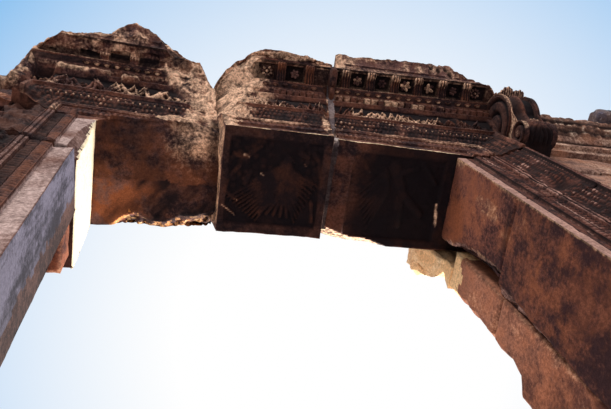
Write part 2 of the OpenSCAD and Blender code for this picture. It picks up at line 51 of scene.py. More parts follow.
KEY_FORWARD = 0.19
CONSOLE_X = RIM_X + 0.15
COURSE = 2.66
RIGHT_LEAF = 1.60
LEFT_LEAF = 0.95
LEFT_BACK = 0.05
WALL_T = 2.30
# Ends of the three blocks at the soffit, and how far each joint moves outwards per metre of height
KEY_LEFT, KEY_RIGHT = -1.09, 0.79
LEFT_FLARE, RIGHT_FLARE = 0.055, 0.125
LEFT_END, RIGHT_END = -5.04, 5.39
# Bed joints of the jambs
JAMB_FOOT, JAMB_BED = 1.1, 6.0
LEFT_BED, RIGHT_BED = SOFFIT - 2.0, SOFFIT - 2.5
# Height of the gutter moulding's top above the soffit
GUTTER_TOP = 2.95
# Points closer than this are one
WELD = 0.0004
# Size of the forms on broken stone
CRAG = 0.36


# Noise and curves

def lattice(cell, seed):
    """Fixed value from -1 to 1 at each whole-number point."""
    h = (cell[..., 0] * 73856093) ^ (cell[..., 1] * 19349663) ^ (cell[..., 2] * 83492791) ^ (seed * 7919)
    h = ((h ^ (h >> 13)) * 1274126177) & 0x7FFFFFFF
    h = ((h ^ (h >> 15)) * 668265263) & 0x7FFFFFFF
    return h / 0x3FFFFFFF - 1


def noise(p, seed=0):
    """Smooth noise from about -1 to 1 at points p."""
    cell = np.floor(p).astype(np.int64)
    f = p - cell
    f = f * f * (3 - 2 * f)
    total = np.zeros(len(p))
    for corner in product((0, 1), repeat=3):
        c = np.array(corner)
        weight = np.prod(np.where(c, f, 1 - f), axis=1)
        total += weight * lattice(cell + c, seed)
    return total


def fractal(p, size, seed=0, octaves=4, stretch=(1, 1, 1)):
    """Layers of noise, the largest of the given size in metres."""
    total = np.zeros(len(p))
    part = 1.0
    q = p / (np.array(stretch) * size)
    for k in range(octaves):
        total += part * noise(q * 2 ** k + 17.3 * k, seed + k)
        part *= 0.5
    return total / 1.6


def crags(p, size, seed=0, octaves=4):
    """Noise with sharp crests, as on broken stone, from 0 to 1."""
    total = np.zeros(len(p))
    part = 0.55
    q = p / size
    for k in range(octaves):
        total += part * (1 - np.abs(noise(q * 2 ** k + 9.1 * k, seed + k)))
        part *= 0.5
    return total


def flat(a, b, seed=0):
    """Points in a plane of noise of their own."""
    return np.stack([a, b, np.full(len(a), seed * 3.17)], axis=1)


def cells(a, b, seed=0):
    """Distance to the nearest of scattered points, one to each unit square of the plane a, b."""
    ca, cb = np.floor(a), np.floor(b)
    best = np.full(len(a), 9.0)
    for i, j in product((-1, 0, 1), repeat=2):
        key = np.stack([ca + i, cb + j, np.zeros(len(a))], axis=1).astype(np.int64)
        pa = ca + i + 0.5 + 0.4 * lattice(key, seed)
        pb = cb + j + 0.5 + 0.4 * lattice(key, seed + 1)
        best = np.minimum(best, np.hypot(a - pa, b - pb))
    return best


def step(lo, hi, x):
    """Smooth step from 0 at lo to 1 at hi."""
    t = np.clip((x - lo) / (hi - lo), 0, 1)
    return t * t * (3 - 2 * t)


def line(x, pairs):
    """Value at x of the broken line through the pairs."""
    xs, ys = zip(*pairs)
    return np.interp(x, xs, ys)


def stroke(x, y, a, b, r, tip=0.6):
    """Height from 0 to 1 of a rounded ridge from a to b, whose half-width shrinks to its share tip at b."""
    dx, dy = b[0] - a[0], b[1] - a[1]
    t = np.clip(((x - a[0]) * dx + (y - a[1]) * dy) / (dx * dx + dy * dy + 1e-9), 0, 1)
    d = np.hypot(x - a[0] - t * dx, y - a[1] - t * dy)
    return np.clip(1 - (d / (r * (1 - (1 - tip) * t))) ** 2, 0, 1) ** 0.5


def between(a, b, t):
    """The point at share t of the way from a to b."""
    return (a[0] + (b[0] - a[0]) * t, a[1] + (b[1] - a[1]) * t)


def to_linear(r, g, b):
    """Linear colour of a screen colour given in 0 to 255."""
    return (tuple((c / 255 / 12.92) if c <= 10 else ((c / 255 + 0.055) / 1.055) ** 2.4 for c in (r, g, b))
            + (1.0,))


# Slips of the blocks

def forward(y):
    """1 at the front of the blocks and beyond, falling to 0 at their back."""
    return np.clip((DEPTH - y) / DEPTH, 0, 1)


def lean(p):
    """Moves points of the upright keystone to where it has slipped and leant back."""
    y, z = p[:, 1].copy(), p[:, 2] - SOFFIT
    p[:, 1] = y * math.cos(KEY_LEAN) + z * math.sin(KEY_LEAN) - KEY_FORWARD
    p[:, 2] = SOFFIT - KEY_DROP + z * math.cos(KEY_LEAN) - (y - DEPTH) * math.sin(KEY_LEAN)
    return p


def settled(x, z):
    """How far the left block's front has slipped back, more towards its inner end and its head."""
    return (0.045 * (x + 4.1) + 0.035 * (z - 0.7)) * step(2.68, 2.44, z)


def settle(p):
    """Moves points of the upright left block to where it has slipped."""
    p[:, 1] += forward(p[:, 1]) * settled(p[:, 0], p[:, 2] - SOFFIT)
    return p


def leant(x, z):
    """How far back the right block's front stands: it leans about its middle, more beside the keystone."""
    return (z - 1.32) * line(x, [(1.0, 0.073), (4.6, 0.02)]) * step(2.68, 2.44, z)


def lean_right(p):
    """Moves points of the upright right block to where it leans."""
    p[:, 1] += forward(p[:, 1]) * leant(p[:, 0], p[:, 2] - SOFFIT)
    return p


# Masks of the stone: how bare (in places a painted highlight), how deep, how dark with soot and painted
# shade, how stained (on the left soffit a painted glow) and how light it is

MASKS = ("worn", "deep", "soot", "warm", "tone")


def most(m, **values):
    """Raises masks to at least the values."""
    for name, value in values.items():
        m[name] = np.maximum(m[name], value)


def give(m, where, **values):
    """Gives masks the values where asked."""
    for name, value in values.items():
        m[name] = np.where(where, value, m[name])


# Mesh helpers

def new_bmesh():
    bm = bmesh.new()
    for m in MASKS:
        bm.verts.layers.float.new(m)
    return bm


def points_of(verts):
    return np.array([v.co[:] for v in verts]).reshape(-1, 3)


def put(bm, verts, points=None, masks=None):
    """Moves the vertices to the points and gives them the masks."""
    if points is not None:
        for v, p in zip(verts, points.tolist()):
            v.co = p
    for m, values in (masks or {}).items():
        layer = bm.verts.layers.float[m]
        for v, value in zip(verts, np.broadcast_to(values, len(verts)).tolist()):
            v[layer] = value


def grid(bm, nu, nv, place):
    """A grid of nu by nv faces, whose points and masks place(u, v) gives."""
    made = bmesh.ops.create_grid(bm, x_segments=nu, y_segments=nv, size=0.5)["verts"]
    uv = points_of(made)[:, :2] + 0.5
    at, masks = place(uv[:, 0], uv[:, 1])
    put(bm, made, at, masks)
    return made


def weld(bm, gap=WELD):
    bmesh.ops.remove_doubles(bm, verts=bm.verts, dist=gap)


def close_up(bm):
    """Fills the open ends and turns all faces outwards."""
    bmesh.ops.holes_fill(bm, edges=[e for e in bm.edges if e.is_boundary], sides=0)
    bmesh.ops.recalc_face_normals(bm, faces=bm.faces)


def side_of(loop):
    """Direction across a closed outline at each of its points."""
    d = np.gradient(loop, axis=0)
    size = np.maximum(np.hypot(d[:, 0], d[:, 1]), 1e-6)
    return np.stack([d[:, 1] / size, -d[:, 0] / size], axis=1)


def piece(name, bm, materials, replaces=(), smooth=True, sharp=45, choose=None, moved=None):
    """Makes the object from the bmesh, in place, and fastens it to the ruin. choose gives the number
    of a face's material from the middles and normals of the faces, and moved puts the points in place."""
    if moved:
        put(bm, bm.verts[:], moved(points_of(bm.verts)))
    mesh = bpy.data.meshes.new(name)
    bm.to_mesh(mesh)
    bm.free()
    obj = bpy.data.objects.new(name, mesh)
    bpy.context.scene.collection.objects.link(obj)
    materials = materials if isinstance(materials, (list, tuple)) else [materials]
    for m in materials:
        mesh.materials.append(m)
    count = len(mesh.polygons)
    if choose:
        mid, out = np.empty(count * 3), np.empty(count * 3)
        mesh.polygons.foreach_get("center", mid)
        mesh.polygons.foreach_get("normal", out)
        which = np.asarray(choose(mid.reshape(-1, 3), out.reshape(-1, 3))).astype(np.int32)
        mesh.polygons.foreach_set("material_index", which)
    mesh.polygons.foreach_set("use_smooth", [smooth] * count)
    if smooth and sharp:
        mesh.set_sharp_from_angle(angle=math.radians(sharp))
    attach(obj, "root")
    if replaces:
        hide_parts(*replaces)


def resample(points, spacing):
    """Points along a broken line, about spacing apart, with its corners kept."""
    out = []
    for a, b, gap in zip(points[:-1], points[1:], spacing):
        n = max(1, round(math.dist(a, b) / gap))
        out += [[a[0] + (b[0] - a[0]) * k / n, a[1] + (b[1] - a[1]) * k / n] for k in range(n)]
    return np.array(out + [list(points[-1])])


def ease(t):
    return (1 - math.cos(math.pi * t)) / 2


def cut(bm, axis, at, geom=None):
    """Cuts the faces by a plane across the axis."""
    co, no = [0, 0, 0], [0, 0, 0]
    co[axis], no[axis] = at, 1
    geom = geom or bm.verts[:] + bm.edges[:] + bm.faces[:]
    return bmesh.ops.bisect_plane(bm, geom=geom, plane_co=co, plane_no=no, dist=0.0005)["geom"]


def rocks(bm, stones, seed):
    """Rough boulders, each given as its middle and its three half-sizes."""
    for k, (mid, size) in enumerate(stones):
        verts = bmesh.ops.create_icosphere(bm, subdivisions=3, radius=1)["verts"]
        p = points_of(verts)
        square = np.sign(p) * np.abs(p) ** 0.72
        out = square * np.array(size) + np.array(mid)
        swell = (1 + 0.20 * fractal(out, min(size) * 1.5, seed + k, 3)
                 - 0.10 * crags(out, min(size), seed + 40 + k, 3))
        out = np.array(mid) + (out - np.array(mid)) * swell[:, None]
        put(bm, verts, out, {"worn": 0.45 * step(0.0, 0.5, fractal(out, 0.3, seed + 7, 3)), "warm": 0.4})


# Materials

COLOURS = ("Dark", "Mid", "Fresh", "Stain", "Soot")
AMOUNTS = ("Blotch", "Streak", "Speckle", "Grain")


def weathering_group():
    """Stone colour and surface from its own masks and noise."""
    g = bpy.data.node_groups.new("stone_weathering", "ShaderNodeTree")
    face = g.interface
    for kind, names in (("NodeSocketColor", COLOURS), ("NodeSocketFloat", AMOUNTS)):
        for name in names:
            face.new_socket(name=name, in_out="INPUT", socket_type=kind)
    face.new_socket(name="Color", in_out="OUTPUT", socket_type="NodeSocketColor")
    face.new_socket(name="Height", in_out="OUTPUT", socket_type="NodeSocketFloat")
    n, l = g.nodes, g.links
    gin, gout = n.new("NodeGroupInput"), n.new("NodeGroupOutput")
    coord = n.new("ShaderNodeTexCoord")

    def attr(name):
        a = n.new("ShaderNodeAttribute")
        a.attribute_name = name
        return a.outputs["Fac"]

    def noise_of(scale, detail, rough=0.6, stretch=None):
        t = n.new("ShaderNodeTexNoise")
        t.inputs["Scale"].default_value = scale
        t.inputs["Detail"].default_value = detail
        t.inputs["Roughness"].default_value = rough
        if stretch:
            m = n.new("ShaderNodeMapping")
            m.inputs["Scale"].default_value = stretch
            l.new(coord.outputs["Object"], m.inputs["Vector"])
            l.new(m.outputs["Vector"], t.inputs["Vector"])
        else:
            l.new(coord.outputs["Object"], t.inputs["Vector"])
        return t.outputs["Fac"]

    def maths(kind, a, b, clamp=False):
        m = n.new("ShaderNodeMath")
        m.operation = kind
        m.use_clamp = clamp
        for socket, value in zip(m.inputs, (a, b)):
            if isinstance(value, (int, float)):
                socket.default_value = value
            else:
                l.new(value, socket)
        return m.outputs[0]

    def span(x, lo, hi, to_lo=0.0, to_hi=1.0):
        m = n.new("ShaderNodeMapRange")
        m.interpolation_type = "SMOOTHSTEP"
        for k, value in ((1, lo), (2, hi), (3, to_lo), (4, to_hi)):
            m.inputs[k].default_value = value
        l.new(x, m.inputs[0])
        return m.outputs[0]

    def mix(fac, a, b, kind="MIX"):
        m = n.new("ShaderNodeMix")
        m.data_type = "RGBA"
        m.blend_type = kind
        for socket, value in ((m.inputs[0], fac), (m.inputs[6], a), (m.inputs[7], b)):
            if isinstance(value, (int, float, tuple)):
                socket.default_value = value
            else:
                l.new(value, socket)
        return m.outputs[2]

    def add(a, b):
        return maths("ADD", a, b)

    def times(a, b):
        return maths("MULTIPLY", a, b)

    def centred(x):
        return maths("SUBTRACT", x, 0.5)

    given = gin.outputs
    big = noise_of(0.55, 6)
    mid = noise_of(2.6, 8, 0.68)
    fine = noise_of(17.0, 5, 0.7)
    pits = noise_of(48.0, 3, 0.6)
    run = noise_of(3.0, 6, 0.65, (1.0, 1.0, 0.12))
    blend = add(times(big, 0.4), times(mid, 0.6))
    tone = add(add(blend, times(centred(run), given["Streak"])), times(attr("tone"), 0.3))
    tone = add(tone, times(centred(fine), times(given["Speckle"], 0.6)))
    colour = mix(span(tone, 0.36, 0.64), given["Dark"], given["Mid"])
    # Warm stain in patches, stronger where the mask asks for it; on the left soffit it paints a glow of
    # reflected light
    patch = span(add(times(mid, 0.6), times(noise_of(1.1, 5), 0.4)), 0.42, 0.60)
    warm = maths("MULTIPLY", times(patch, given["Blotch"]), attr("warm"), clamp=True)
    colour = mix(warm, colour, given["Stain"])
    # Fresh breaks, with grain; the same pale colour paints the highlights on crests, eggs and volute rims
    grain = span(add(times(fine, 0.55), times(mid, 0.45)), 0.38, 0.62, 0.24, 1.18)
    fresh = mix(given["Grain"], given["Fresh"], grain, "MULTIPLY")
    worn = attr("worn")
    edge = add(worn, times(centred(add(times(mid, 0.5), times(fine, 0.5))), 1.5))
    colour = mix(times(span(edge, 0.2, 0.8), span(worn, 0.0, 0.15)), colour, fresh)
    # Dirt in the hollows and on the faces, which in places is painted shade, then fine speckles
    colour = mix(span(attr("deep"), 0.1, 0.95, 0.0, 0.96), colour, given["Soot"])
    colour = mix(attr("soot"), colour, given["Soot"])
    speckle = span(add(times(fine, 0.5), times(pits, 0.5)), 0.32, 0.68, 0.66, 1.25)
    colour = mix(1.0, colour, speckle, "MULTIPLY")
    l.new(colour, gout.inputs["Color"])
    l.new(add(times(mid, 0.5), add(times(fine, 0.35), times(pits, 0.15))), gout.inputs["Height"])
    return g


WEATHERING = weathering_group()


def stone(name, dark, mid, fresh, stain, soot=(20, 12, 16), blotch=1.0, streak=0.0, speckle=1.0, grain=1.0,
          relief=0.03, rough=0.9):
    """Weathered limestone: colours of its patina, its breaks, its stains and its dirt, whose colour also
    paints shade.
    """
    m = bpy.data.materials.new(name)
    m.use_nodes = True
    n, l = m.node_tree.nodes, m.node_tree.links
    shader = n["Principled BSDF"]
    g = n.new("ShaderNodeGroup")
    g.node_tree = WEATHERING
    for socket, value in zip(COLOURS, (dark, mid, fresh, stain, soot)):
        g.inputs[socket].default_value = to_linear(*value)
    for socket, value in zip(AMOUNTS, (blotch, streak, speckle, grain)):
        g.inputs[socket].default_value = value
    bump_node = n.new("ShaderNodeBump")
    bump_node.inputs["Strength"].default_value = 0.7
    bump_node.inputs["Distance"].default_value = relief
    l.new(g.outputs["Height"], bump_node.inputs["Height"])
    l.new(bump_node.outputs["Normal"], shader.inputs["Normal"])
    l.new(g.outputs["Color"], shader.inputs["Base Color"])
    shader.inputs["Roughness"].default_value = rough
    shader.inputs["Specular IOR Level"].default_value = 0.15
    return m


CARVED = stone("carved_stone", (42, 26, 29), (104, 74, 69), (226, 184, 154), (128, 74, 48), soot=(14, 7, 12))
JAMB_FRONT = stone("jamb_front_stone", (36, 21, 23), (90, 58, 52), (172, 134, 122), (106, 60, 46),
                   soot=(20, 10, 13), grain=0.5)
LEFT_FRONT = stone("left_jamb_front_stone", (50, 34, 36), (104, 76, 70), (182, 158, 152), (112, 70, 54),
                   soot=(20, 11, 14), grain=0.3)
REVEAL = stone("jamb_stone", (54, 30, 32), (112, 68, 56), (186, 146, 116), (162, 94, 60), soot=(22, 11, 14),
               blotch=0.8, streak=0.5)
# Blue-grey painted shade: the left jamb's lower reveals, the left plinth and the end stone at the far right
SHADED_GREY = stone("grey_stone", (44, 42, 54), (98, 95, 112), (178, 168, 170), (92, 74, 70), streak=1.2,
             speckle=0.6)
# Near-white cream, painted sunlight on the reveal of the left jamb's top stone
SUNLIT_CREAM = stone("cream_stone", (236, 218, 186), (253, 242, 216), (255, 250, 232), (240, 214, 170), rough=0.85,
              relief=0.012, speckle=0.2)
WALL = stone("wall_stone", (92, 64, 56), (158, 126, 112), (202, 174, 154), (150, 94, 62))
PIER = stone("pier_stone", (92, 56, 46), (162, 110, 88), (214, 166, 134), (158, 94, 64), grain=0.6,
             speckle=0.5)
# Golden stone, painted sunlight on the capital and the top of the right pilaster
SUNLIT_GOLD = stone("golden_stone", (184, 130, 88), (246, 206, 156), (255, 238, 202), (232, 176, 118), blotch=0.5,
             grain=0.4)
# Pale broken stone, used only as painted light: sunlight on broken rear edges and a highlight along the lower
# front arris
LIT_BREAK = stone("broken_stone", (150, 96, 56), (232, 186, 134), (255, 236, 196), (200, 130, 70),
              soot=(50, 26, 16))
MORTAR = stone("mortar", (84, 72, 76), (140, 126, 126), (170, 158, 152), (120, 98, 90))
FLOOR_STONE = stone("worn_stone", (120, 98, 82), (176, 152, 130), (200, 180, 158), (150, 112, 82))


# Cross-section of the frame and the cornice: distance from the opening against depth

def curve_points(w0, y0, w1, y1, n=10):
    return [(w0 + (w1 - w0) * k / n, y0 + (y1 - y0) * ease(k / n)) for k in range(n + 1)]


def swell_points(w0, y0, w1, y1, n=8):
    return [(w0 + (w1 - w0) * k / n, y0 + (y1 - y0) * math.sin(math.pi / 2 * k / n)) for k in range(n + 1)]


FRAME_FRONT = ([(0, 0), (0.30, 0), (0.32, 0.012), (0.335, -0.045), (0.475, -0.055), (0.485, -0.03),
                (0.495, -0.055), (0.63, -0.06), (0.64, -0.035), (0.65, -0.095), (0.685, -0.10),
                (0.695, -0.075), (0.71, -0.11), (0.75, -0.115), (0.765, -0.08)]
               + curve_points(0.78, -0.11, 1.25, -0.30) + [(1.255, -0.345), (1.345, -0.345)])
CORNICE_FRONT = ([(1.36, -0.27)] + swell_points(1.37, -0.28, 1.93, -0.50)
                 + [(1.94, -0.545), (1.99, -0.55), (2.0, -0.53), (2.15, -0.53), (2.155, -0.60),
                    (2.17, -0.655)] + swell_points(2.18, -0.66, 2.29, -0.77)
                 + [(2.30, -0.81), (2.325, -0.81), (2.33, -0.78), (2.45, -0.79), (2.452, -1.15),
                    (2.44, -1.16), (2.44, -1.20), (2.61, -1.20), (2.62, -1.23)]
                 + curve_points(2.64, -1.22, 2.93, -1.42) + [(2.95, -1.43)])
# Bare or worn edges across the frame and the cornice, partly a painted highlight, as pairs of distance and
# strength
PALE_EDGES = [(0.0, 0.9), (0.06, 0.85), (0.085, 0.12), (0.28, 0.12), (0.33, 0.3), (0.34, 0.12), (0.64, 0.1),
              (0.65, 0.5), (0.69, 0.5), (0.70, 0.15), (0.71, 0.55), (0.755, 0.5), (0.77, 0.0), (1.25, 0.0),
              (1.26, 0.32), (1.34, 0.3), (1.36, 0.0), (1.93, 0.0), (1.95, 0.35), (1.99, 0.3), (2.0, 0.0),
              (2.15, 0.0), (2.155, 0.45), (2.175, 0.45), (2.18, 0.0), (2.295, 0.0), (2.30, 0.6),
              (2.325, 0.6), (2.33, 0.0), (2.43, 0.0), (2.44, 0.5), (2.60, 0.35), (2.63, 0.15), (2.95, 0.2)]


def front_y(w):
    ws, ys = zip(*FRAME_FRONT)
    return np.where(w < 1.346, np.interp(w, ws, ys), 0.0)


def section_loop(front, depth, top_w, fine, coarse, reveal):
    """Closed cross-section: reveal or soffit, the carved front, the far side and the back."""
    points = [(0, depth)] + [tuple(p) for p in front] + [(top_w, front[-1][1]), (top_w, depth), (0, depth)]
    spacing = [reveal] + [fine] * (len(front) - 1) + [coarse] * 3
    loop = resample(points, spacing)
    return loop, side_of(loop)


def sweep(bm, loop, normal, count, ends, shape):
    """Draws the cross-section out between two ends, which may slant. shape puts the distance from the
    opening, the depth and the place along it into the ruin's axes, and carves and breaks the points."""
    n = len(loop)

    def place(u, v):
        k = np.rint(v * (n - 1)).astype(int)
        w, y = loop[k, 0], loop[k, 1]
        start, stop = ends(w, y)
        return shape(start + (stop - start) * u, w, y, normal[k])

    return grid(bm, count, n - 1, place)


# Carving

def vine(s, a, seed):
    """Fine foliage, eaten by weather into rows of small knobs. a runs from 0 to 1 across the band."""
    s = s + 0.03 * noise(flat(s * 3, a * 2, seed), seed)
    row = a * 4.6
    k = np.floor(row)
    place = s / 0.082 + 0.5 * (k % 2)
    t = place % 1 - 0.5
    own = 0.5 + 0.5 * lattice(np.stack([np.floor(place), k, k * 0], axis=1).astype(np.int64), seed)
    knob = (np.clip(1 - np.hypot(t, (row - k - 0.5) * 1.1) / (0.30 + 0.18 * own), 0, 1) ** 0.5
            * (0.62 + 0.38 * own))
    stem = 0.45 * (1 - step(0.02, 0.07, np.abs(a - 0.5 - 0.30 * np.sin(2 * np.pi * s / 0.36))))
    return (np.maximum(knob, stem)
            * (0.35 + 0.65 * step(-0.5, 0.1, fractal(flat(s, a * 0.47, seed), 0.22, seed, 3))))


LEFT_SEED = 3


def acanthus(s, a, seed):
    """Worn leaf scrolls: crossing stems and leaf tips over drilled hollows. a runs from 0 to 1 up the
    frieze. The scrolls of the left block are larger."""
    wide, high = (1.25, 1.0) if seed == LEFT_SEED else (0.85, 0.8)
    s = s / wide + 0.09 * noise(flat(s * 4, a * 2, seed), seed)
    a = a / high
    h = np.zeros(len(s))
    for period, shift, rise, half in ((0.25, 0.0, 0.50, 0.12), (0.37, 0.2, 0.46, 0.11),
                                      (0.19, 0.11, 0.30, 0.08)):
        arch = np.abs((s + shift) / period % 1 - 0.5 + 0.2 * noise(flat(s * 2, a * 0, seed + 4), seed)) * 2
        stem = 1 - step(0.3 * half, half, np.abs(a - 0.06 - rise * arch))
        h = np.maximum(h, stem * (0.85 + 0.3 * noise(flat(s * 5, a * 3, period), seed)))
    k = np.floor(s / 0.26)
    own = lattice(np.stack([k, k * 0, k * 0], axis=1).astype(np.int64), seed + 3)
    ds, da = s - (k + 0.5 + 0.2 * own) * 0.26, (a - 0.30 - 0.10 * own) * 0.56
    angle = np.arctan2(da, ds) + 3 * own
    leaf = np.clip(1.7 * (1 - np.hypot(ds, da) / (0.105 * (0.70 + 0.30 * np.cos(5 * angle)))), 0, 1) ** 0.6
    h = np.maximum(h, leaf * (0.6 + 0.4 * own) * (0.65 + 0.35 * np.cos(9 * angle)))
    left = step(-0.45, 0.05, fractal(flat(s, a * 0.6, seed), 0.3, seed, 4))
    return h * left * step(0.95, 0.70, a)


def beads(s, a, pitch):
    """A row of rounded beads."""
    t = (s / pitch) % 1 - 0.5
    return np.clip(1 - (t / 0.42) ** 2, 0, 1) ** 0.5 * np.clip(1 - ((a - 0.5) / 0.46) ** 2, 0, 1) ** 0.5


def tongues(s, a, pitch):
    """A row of small pointed leaves."""
    t = np.abs((s / pitch) % 1 - 0.5)
    return np.clip(1 - t / (0.5 - 0.34 * a), 0, 1) ** 0.5


def frame_relief(s, w, seed):
    """Height of the carving over the frame and frieze, depth of its ground, and how pale its crests are:
    worn, and partly a painted highlight.
    """
    h, deep, lit = np.zeros(len(s)), np.zeros(len(s)), np.zeros(len(s))
    # Each band: its edges, its height, how dark its ground and how pale its crests are (worn, and partly a
    # painted highlight), and its carving
    bands = ((0.338, 0.474, 0.030, 0.75, 0.35, lambda s, a: beads(s, a, 0.088)),
             (0.497, 0.628, 0.030, 0.75, 0.35, lambda s, a: tongues(s, a, 0.105)),
             (0.785, 1.245, 0.045, 0.85, 1.9, lambda s, a: vine(s, a, seed)),
             (1.262, 1.34, 0.014, 0.55, 0.3, lambda s, a: beads(s, a, 0.062)),
             (1.375, 1.93, 0.115, 1.0, 2.2, lambda s, a: acanthus(s, a, seed)))
    for lo, hi, height, dark, shine, carve in bands:
        row = (w > lo) & (w < hi)
        if row.any():
            b = carve(s[row], (w[row] - lo) / (hi - lo))
            h[row] = height * (b - 0.6)
            deep[row] = dark * (1 - b)
            lit[row] = shine * np.clip(1.5 * b - 0.65, 0, 1)
    return h, deep, lit


def expose(m, hit, bare, k, dirt=0.62):
    """Bare crests and dirty hollows of broken stone, from its crags k."""
    m["worn"] = m["worn"] * (1 - hit) + hit * bare * (0.40 + 0.75 * step(0.68, 0.88, k))
    m["deep"] = m["deep"] * (1 - hit)
    m["soot"] = m["soot"] * (1 - hit) + hit * dirt * step(0.72, 0.54, k)
    m["warm"] = m["warm"] * (1 - hit) + hit * 0.9


def break_front(p, m, limit, bare, seed):
    """Breaks off what stands forward of the limit, leaving rough stone."""
    over = limit - p[:, 1]
    hit = step(-0.03, 0.05, over)
    k = crags(p, CRAG, seed, 5)
    rough = 0.11 * k - 0.055 + 0.035 * fractal(p, 0.11, seed + 3, 3)
    p[:, 1] = np.where(over > 0, limit + 0.10 * np.minimum(over, 0.8), p[:, 1]) - hit * rough
    expose(m, hit, bare, k)


def reface(p, m, front, region, depth, bare, seed, rough=0.10):
    """Turns a region of the front into rough broken stone at the given depth."""
    hit = region * front
    k = crags(p, CRAG, seed, 5)
    p[:, 1] = p[:, 1] * (1 - hit) + (depth - rough * (k - 0.55) - 0.03 * fractal(p, 0.11, seed + 3, 3)) * hit
    expose(m, hit, bare, k)


def break_top(p, m, top, bare, seed):
    """Breaks off what stands higher than the top, leaving rough stone."""
    over = p[:, 2] - top
    hit = step(-0.05, 0.06, over)
    k = crags(p, CRAG, seed, 5)
    rough = 0.12 * k - 0.06 + 0.03 * fractal(p, 0.10, seed + 3, 3)
    p[:, 2] = np.where(over > 0, top + 0.12 * over, p[:, 2]) - hit * rough
    expose(m, hit, bare, k, 0.3)


def close_ends(bm, rough, seed):
    """Joins the seam and gives both ends a rough stone face."""
    weld(bm)
    rims = [e for e in bm.edges if e.is_boundary]
    made = bmesh.ops.extrude_edge_only(bm, edges=rims)["geom"]
    inner = [g for g in made if isinstance(g, bmesh.types.BMVert)]
    put(bm, inner, None, {m: 0.0 for m in MASKS})
    edges = [g for g in made if isinstance(g, bmesh.types.BMEdge) and g.is_boundary]
    caps = bmesh.ops.holes_fill(bm, edges=edges, sides=0)["faces"]
    for axis in (1, 2):
        low = min(v.co[axis] for f in caps for v in f.verts)
        high = max(v.co[axis] for f in caps for v in f.verts)
        steps = max(2, round((high - low) / 0.14))
        for k in range(1, steps):
            geom = list({v for f in caps for v in f.verts}) + list({e for f in caps for e in f.edges}) + caps
            out = cut(bm, axis, low + (high - low) * k / steps, geom)
            caps = [f for f in out if isinstance(f, bmesh.types.BMFace)]
    bmesh.ops.recalc_face_normals(bm, faces=bm.faces)
    rim = {v for f in bm.faces if f not in set(caps) for v in f.verts}
    inside = [v for v in {v for f in caps for v in f.verts} if v not in rim]
    if inside:
        p = points_of(inside)
        out = np.array([v.normal[:] for v in inside])
        put(bm, inside, p + out * (rough * fractal(p, 0.4, seed, 4))[:, None], {"worn": 0.5, "warm": 0.6})


LOOP, LOOP_OUT = section_loop(FRAME_FRONT + CORNICE_FRONT, DEPTH, GUTTER_TOP, 0.022, 0.12, 0.028)


def carved_block(name, node, ends, count, leans, coffers, breaks, soffit, seed, bright):
    """One block of the flat arch: soffit, frame, frieze and cornice as one carved stone."""
    bm = new_bmesh()

    def shape(s, w, y, out):
        p = np.stack([s, y, SOFFIT + w], axis=1)
        m = {k: np.zeros(len(s)) for k in MASKS}
        m["warm"] += 0.5
        front = (y < 0.02) & (w > 0.001) & (w < 2.949)
        side = np.abs(s) - HALF
        along = s.copy()
        band = w.copy()
        if not leans:
            turned = front & (w < 1.355) & (side > w)
            band[turned], along[turned] = side[turned], w[turned] + 3
            p[turned, 1] = front_y(side[turned])
            plain = (np.abs(s) > CONSOLE_X) & (w > 1.30) & (w < 2.4505) & (y > -1.0) & front
            p[plain, 1] = 0.0
            band[plain] = 0.15
        carved = band if leans else np.where(side > FRAME_W, 0.15, band)
        h, deep, lit = (np.where(front, v, 0) for v in frame_relief(along, carved, seed))
        pale = np.where(front, line(band, PALE_EDGES), 0)
        glow = line(s, bright)
        erode = fractal(p, 0.35, seed + 3, 4)
        keep = 1 - 0.7 * step(0.25, 0.7, erode)
        h = h * keep + 0.010 * fractal(p, 0.16, seed + 5, 4) - 0.012 * step(0.25, 0.7, erode)
        p[:, 1] += out[:, 1] * h
        p[:, 2] += out[:, 0] * h
        m["deep"] = deep * (0.35 + 0.65 * keep)
        give(m, front, warm=0.45)
        # Pale crests: worn, and partly a painted highlight, stronger where glow is high along the block
        bare = lit * glow * (0.6 + 0.8 * noise(p * 3.0, seed + 9))
        m["worn"] = np.clip(bare + pale * (0.75 + 0.5 * fractal(p, 0.5, seed + 8, 3)), 0, 1)
        # Coffers between the brackets
        under = (w > 2.448) & (w < 2.4525)
        for lo, hi, far, dark in coffers:
            inside = under & (s > lo) & (s < hi) & (y < -0.815) & (y > far)
            p[inside, 2] += 0.075
            most(m, soot=dark * inside)
        most(m, soot=0.72 * (under & (y > -1.14)), deep=0.6 * (front & (w > 2.0) & (w < 2.148)))
        most(m, deep=0.7 * (front & (w > 2.18) & (w < 2.292)))
        most(m, deep=0.75 * (front & (w > 2.33) & (w < 2.449)))
        low = (w < 0.0005) & (y < DEPTH - 0.002)
        if low.any():
            soffit(p, low, m)
        back = y > DEPTH - 0.002
        p[back, 1] += 0.03 * fractal(p[back], 0.5, seed + 11, 4)
        top = w > 2.94
        give(m, top, worn=0.5 + 0.5 * fractal(p, 0.4, seed + 12, 4), deep=0)
        breaks(p, w, y, m)
        return p, m

    sweep(bm, LOOP, LOOP_OUT, count, ends, shape)
    close_ends(bm, 0.04, seed + 60)
    piece(name, bm, [CARVED, LIT_BREAK], (node,), sharp=50,
          choose=lambda c, n: painted_light_faces(c, n, name))


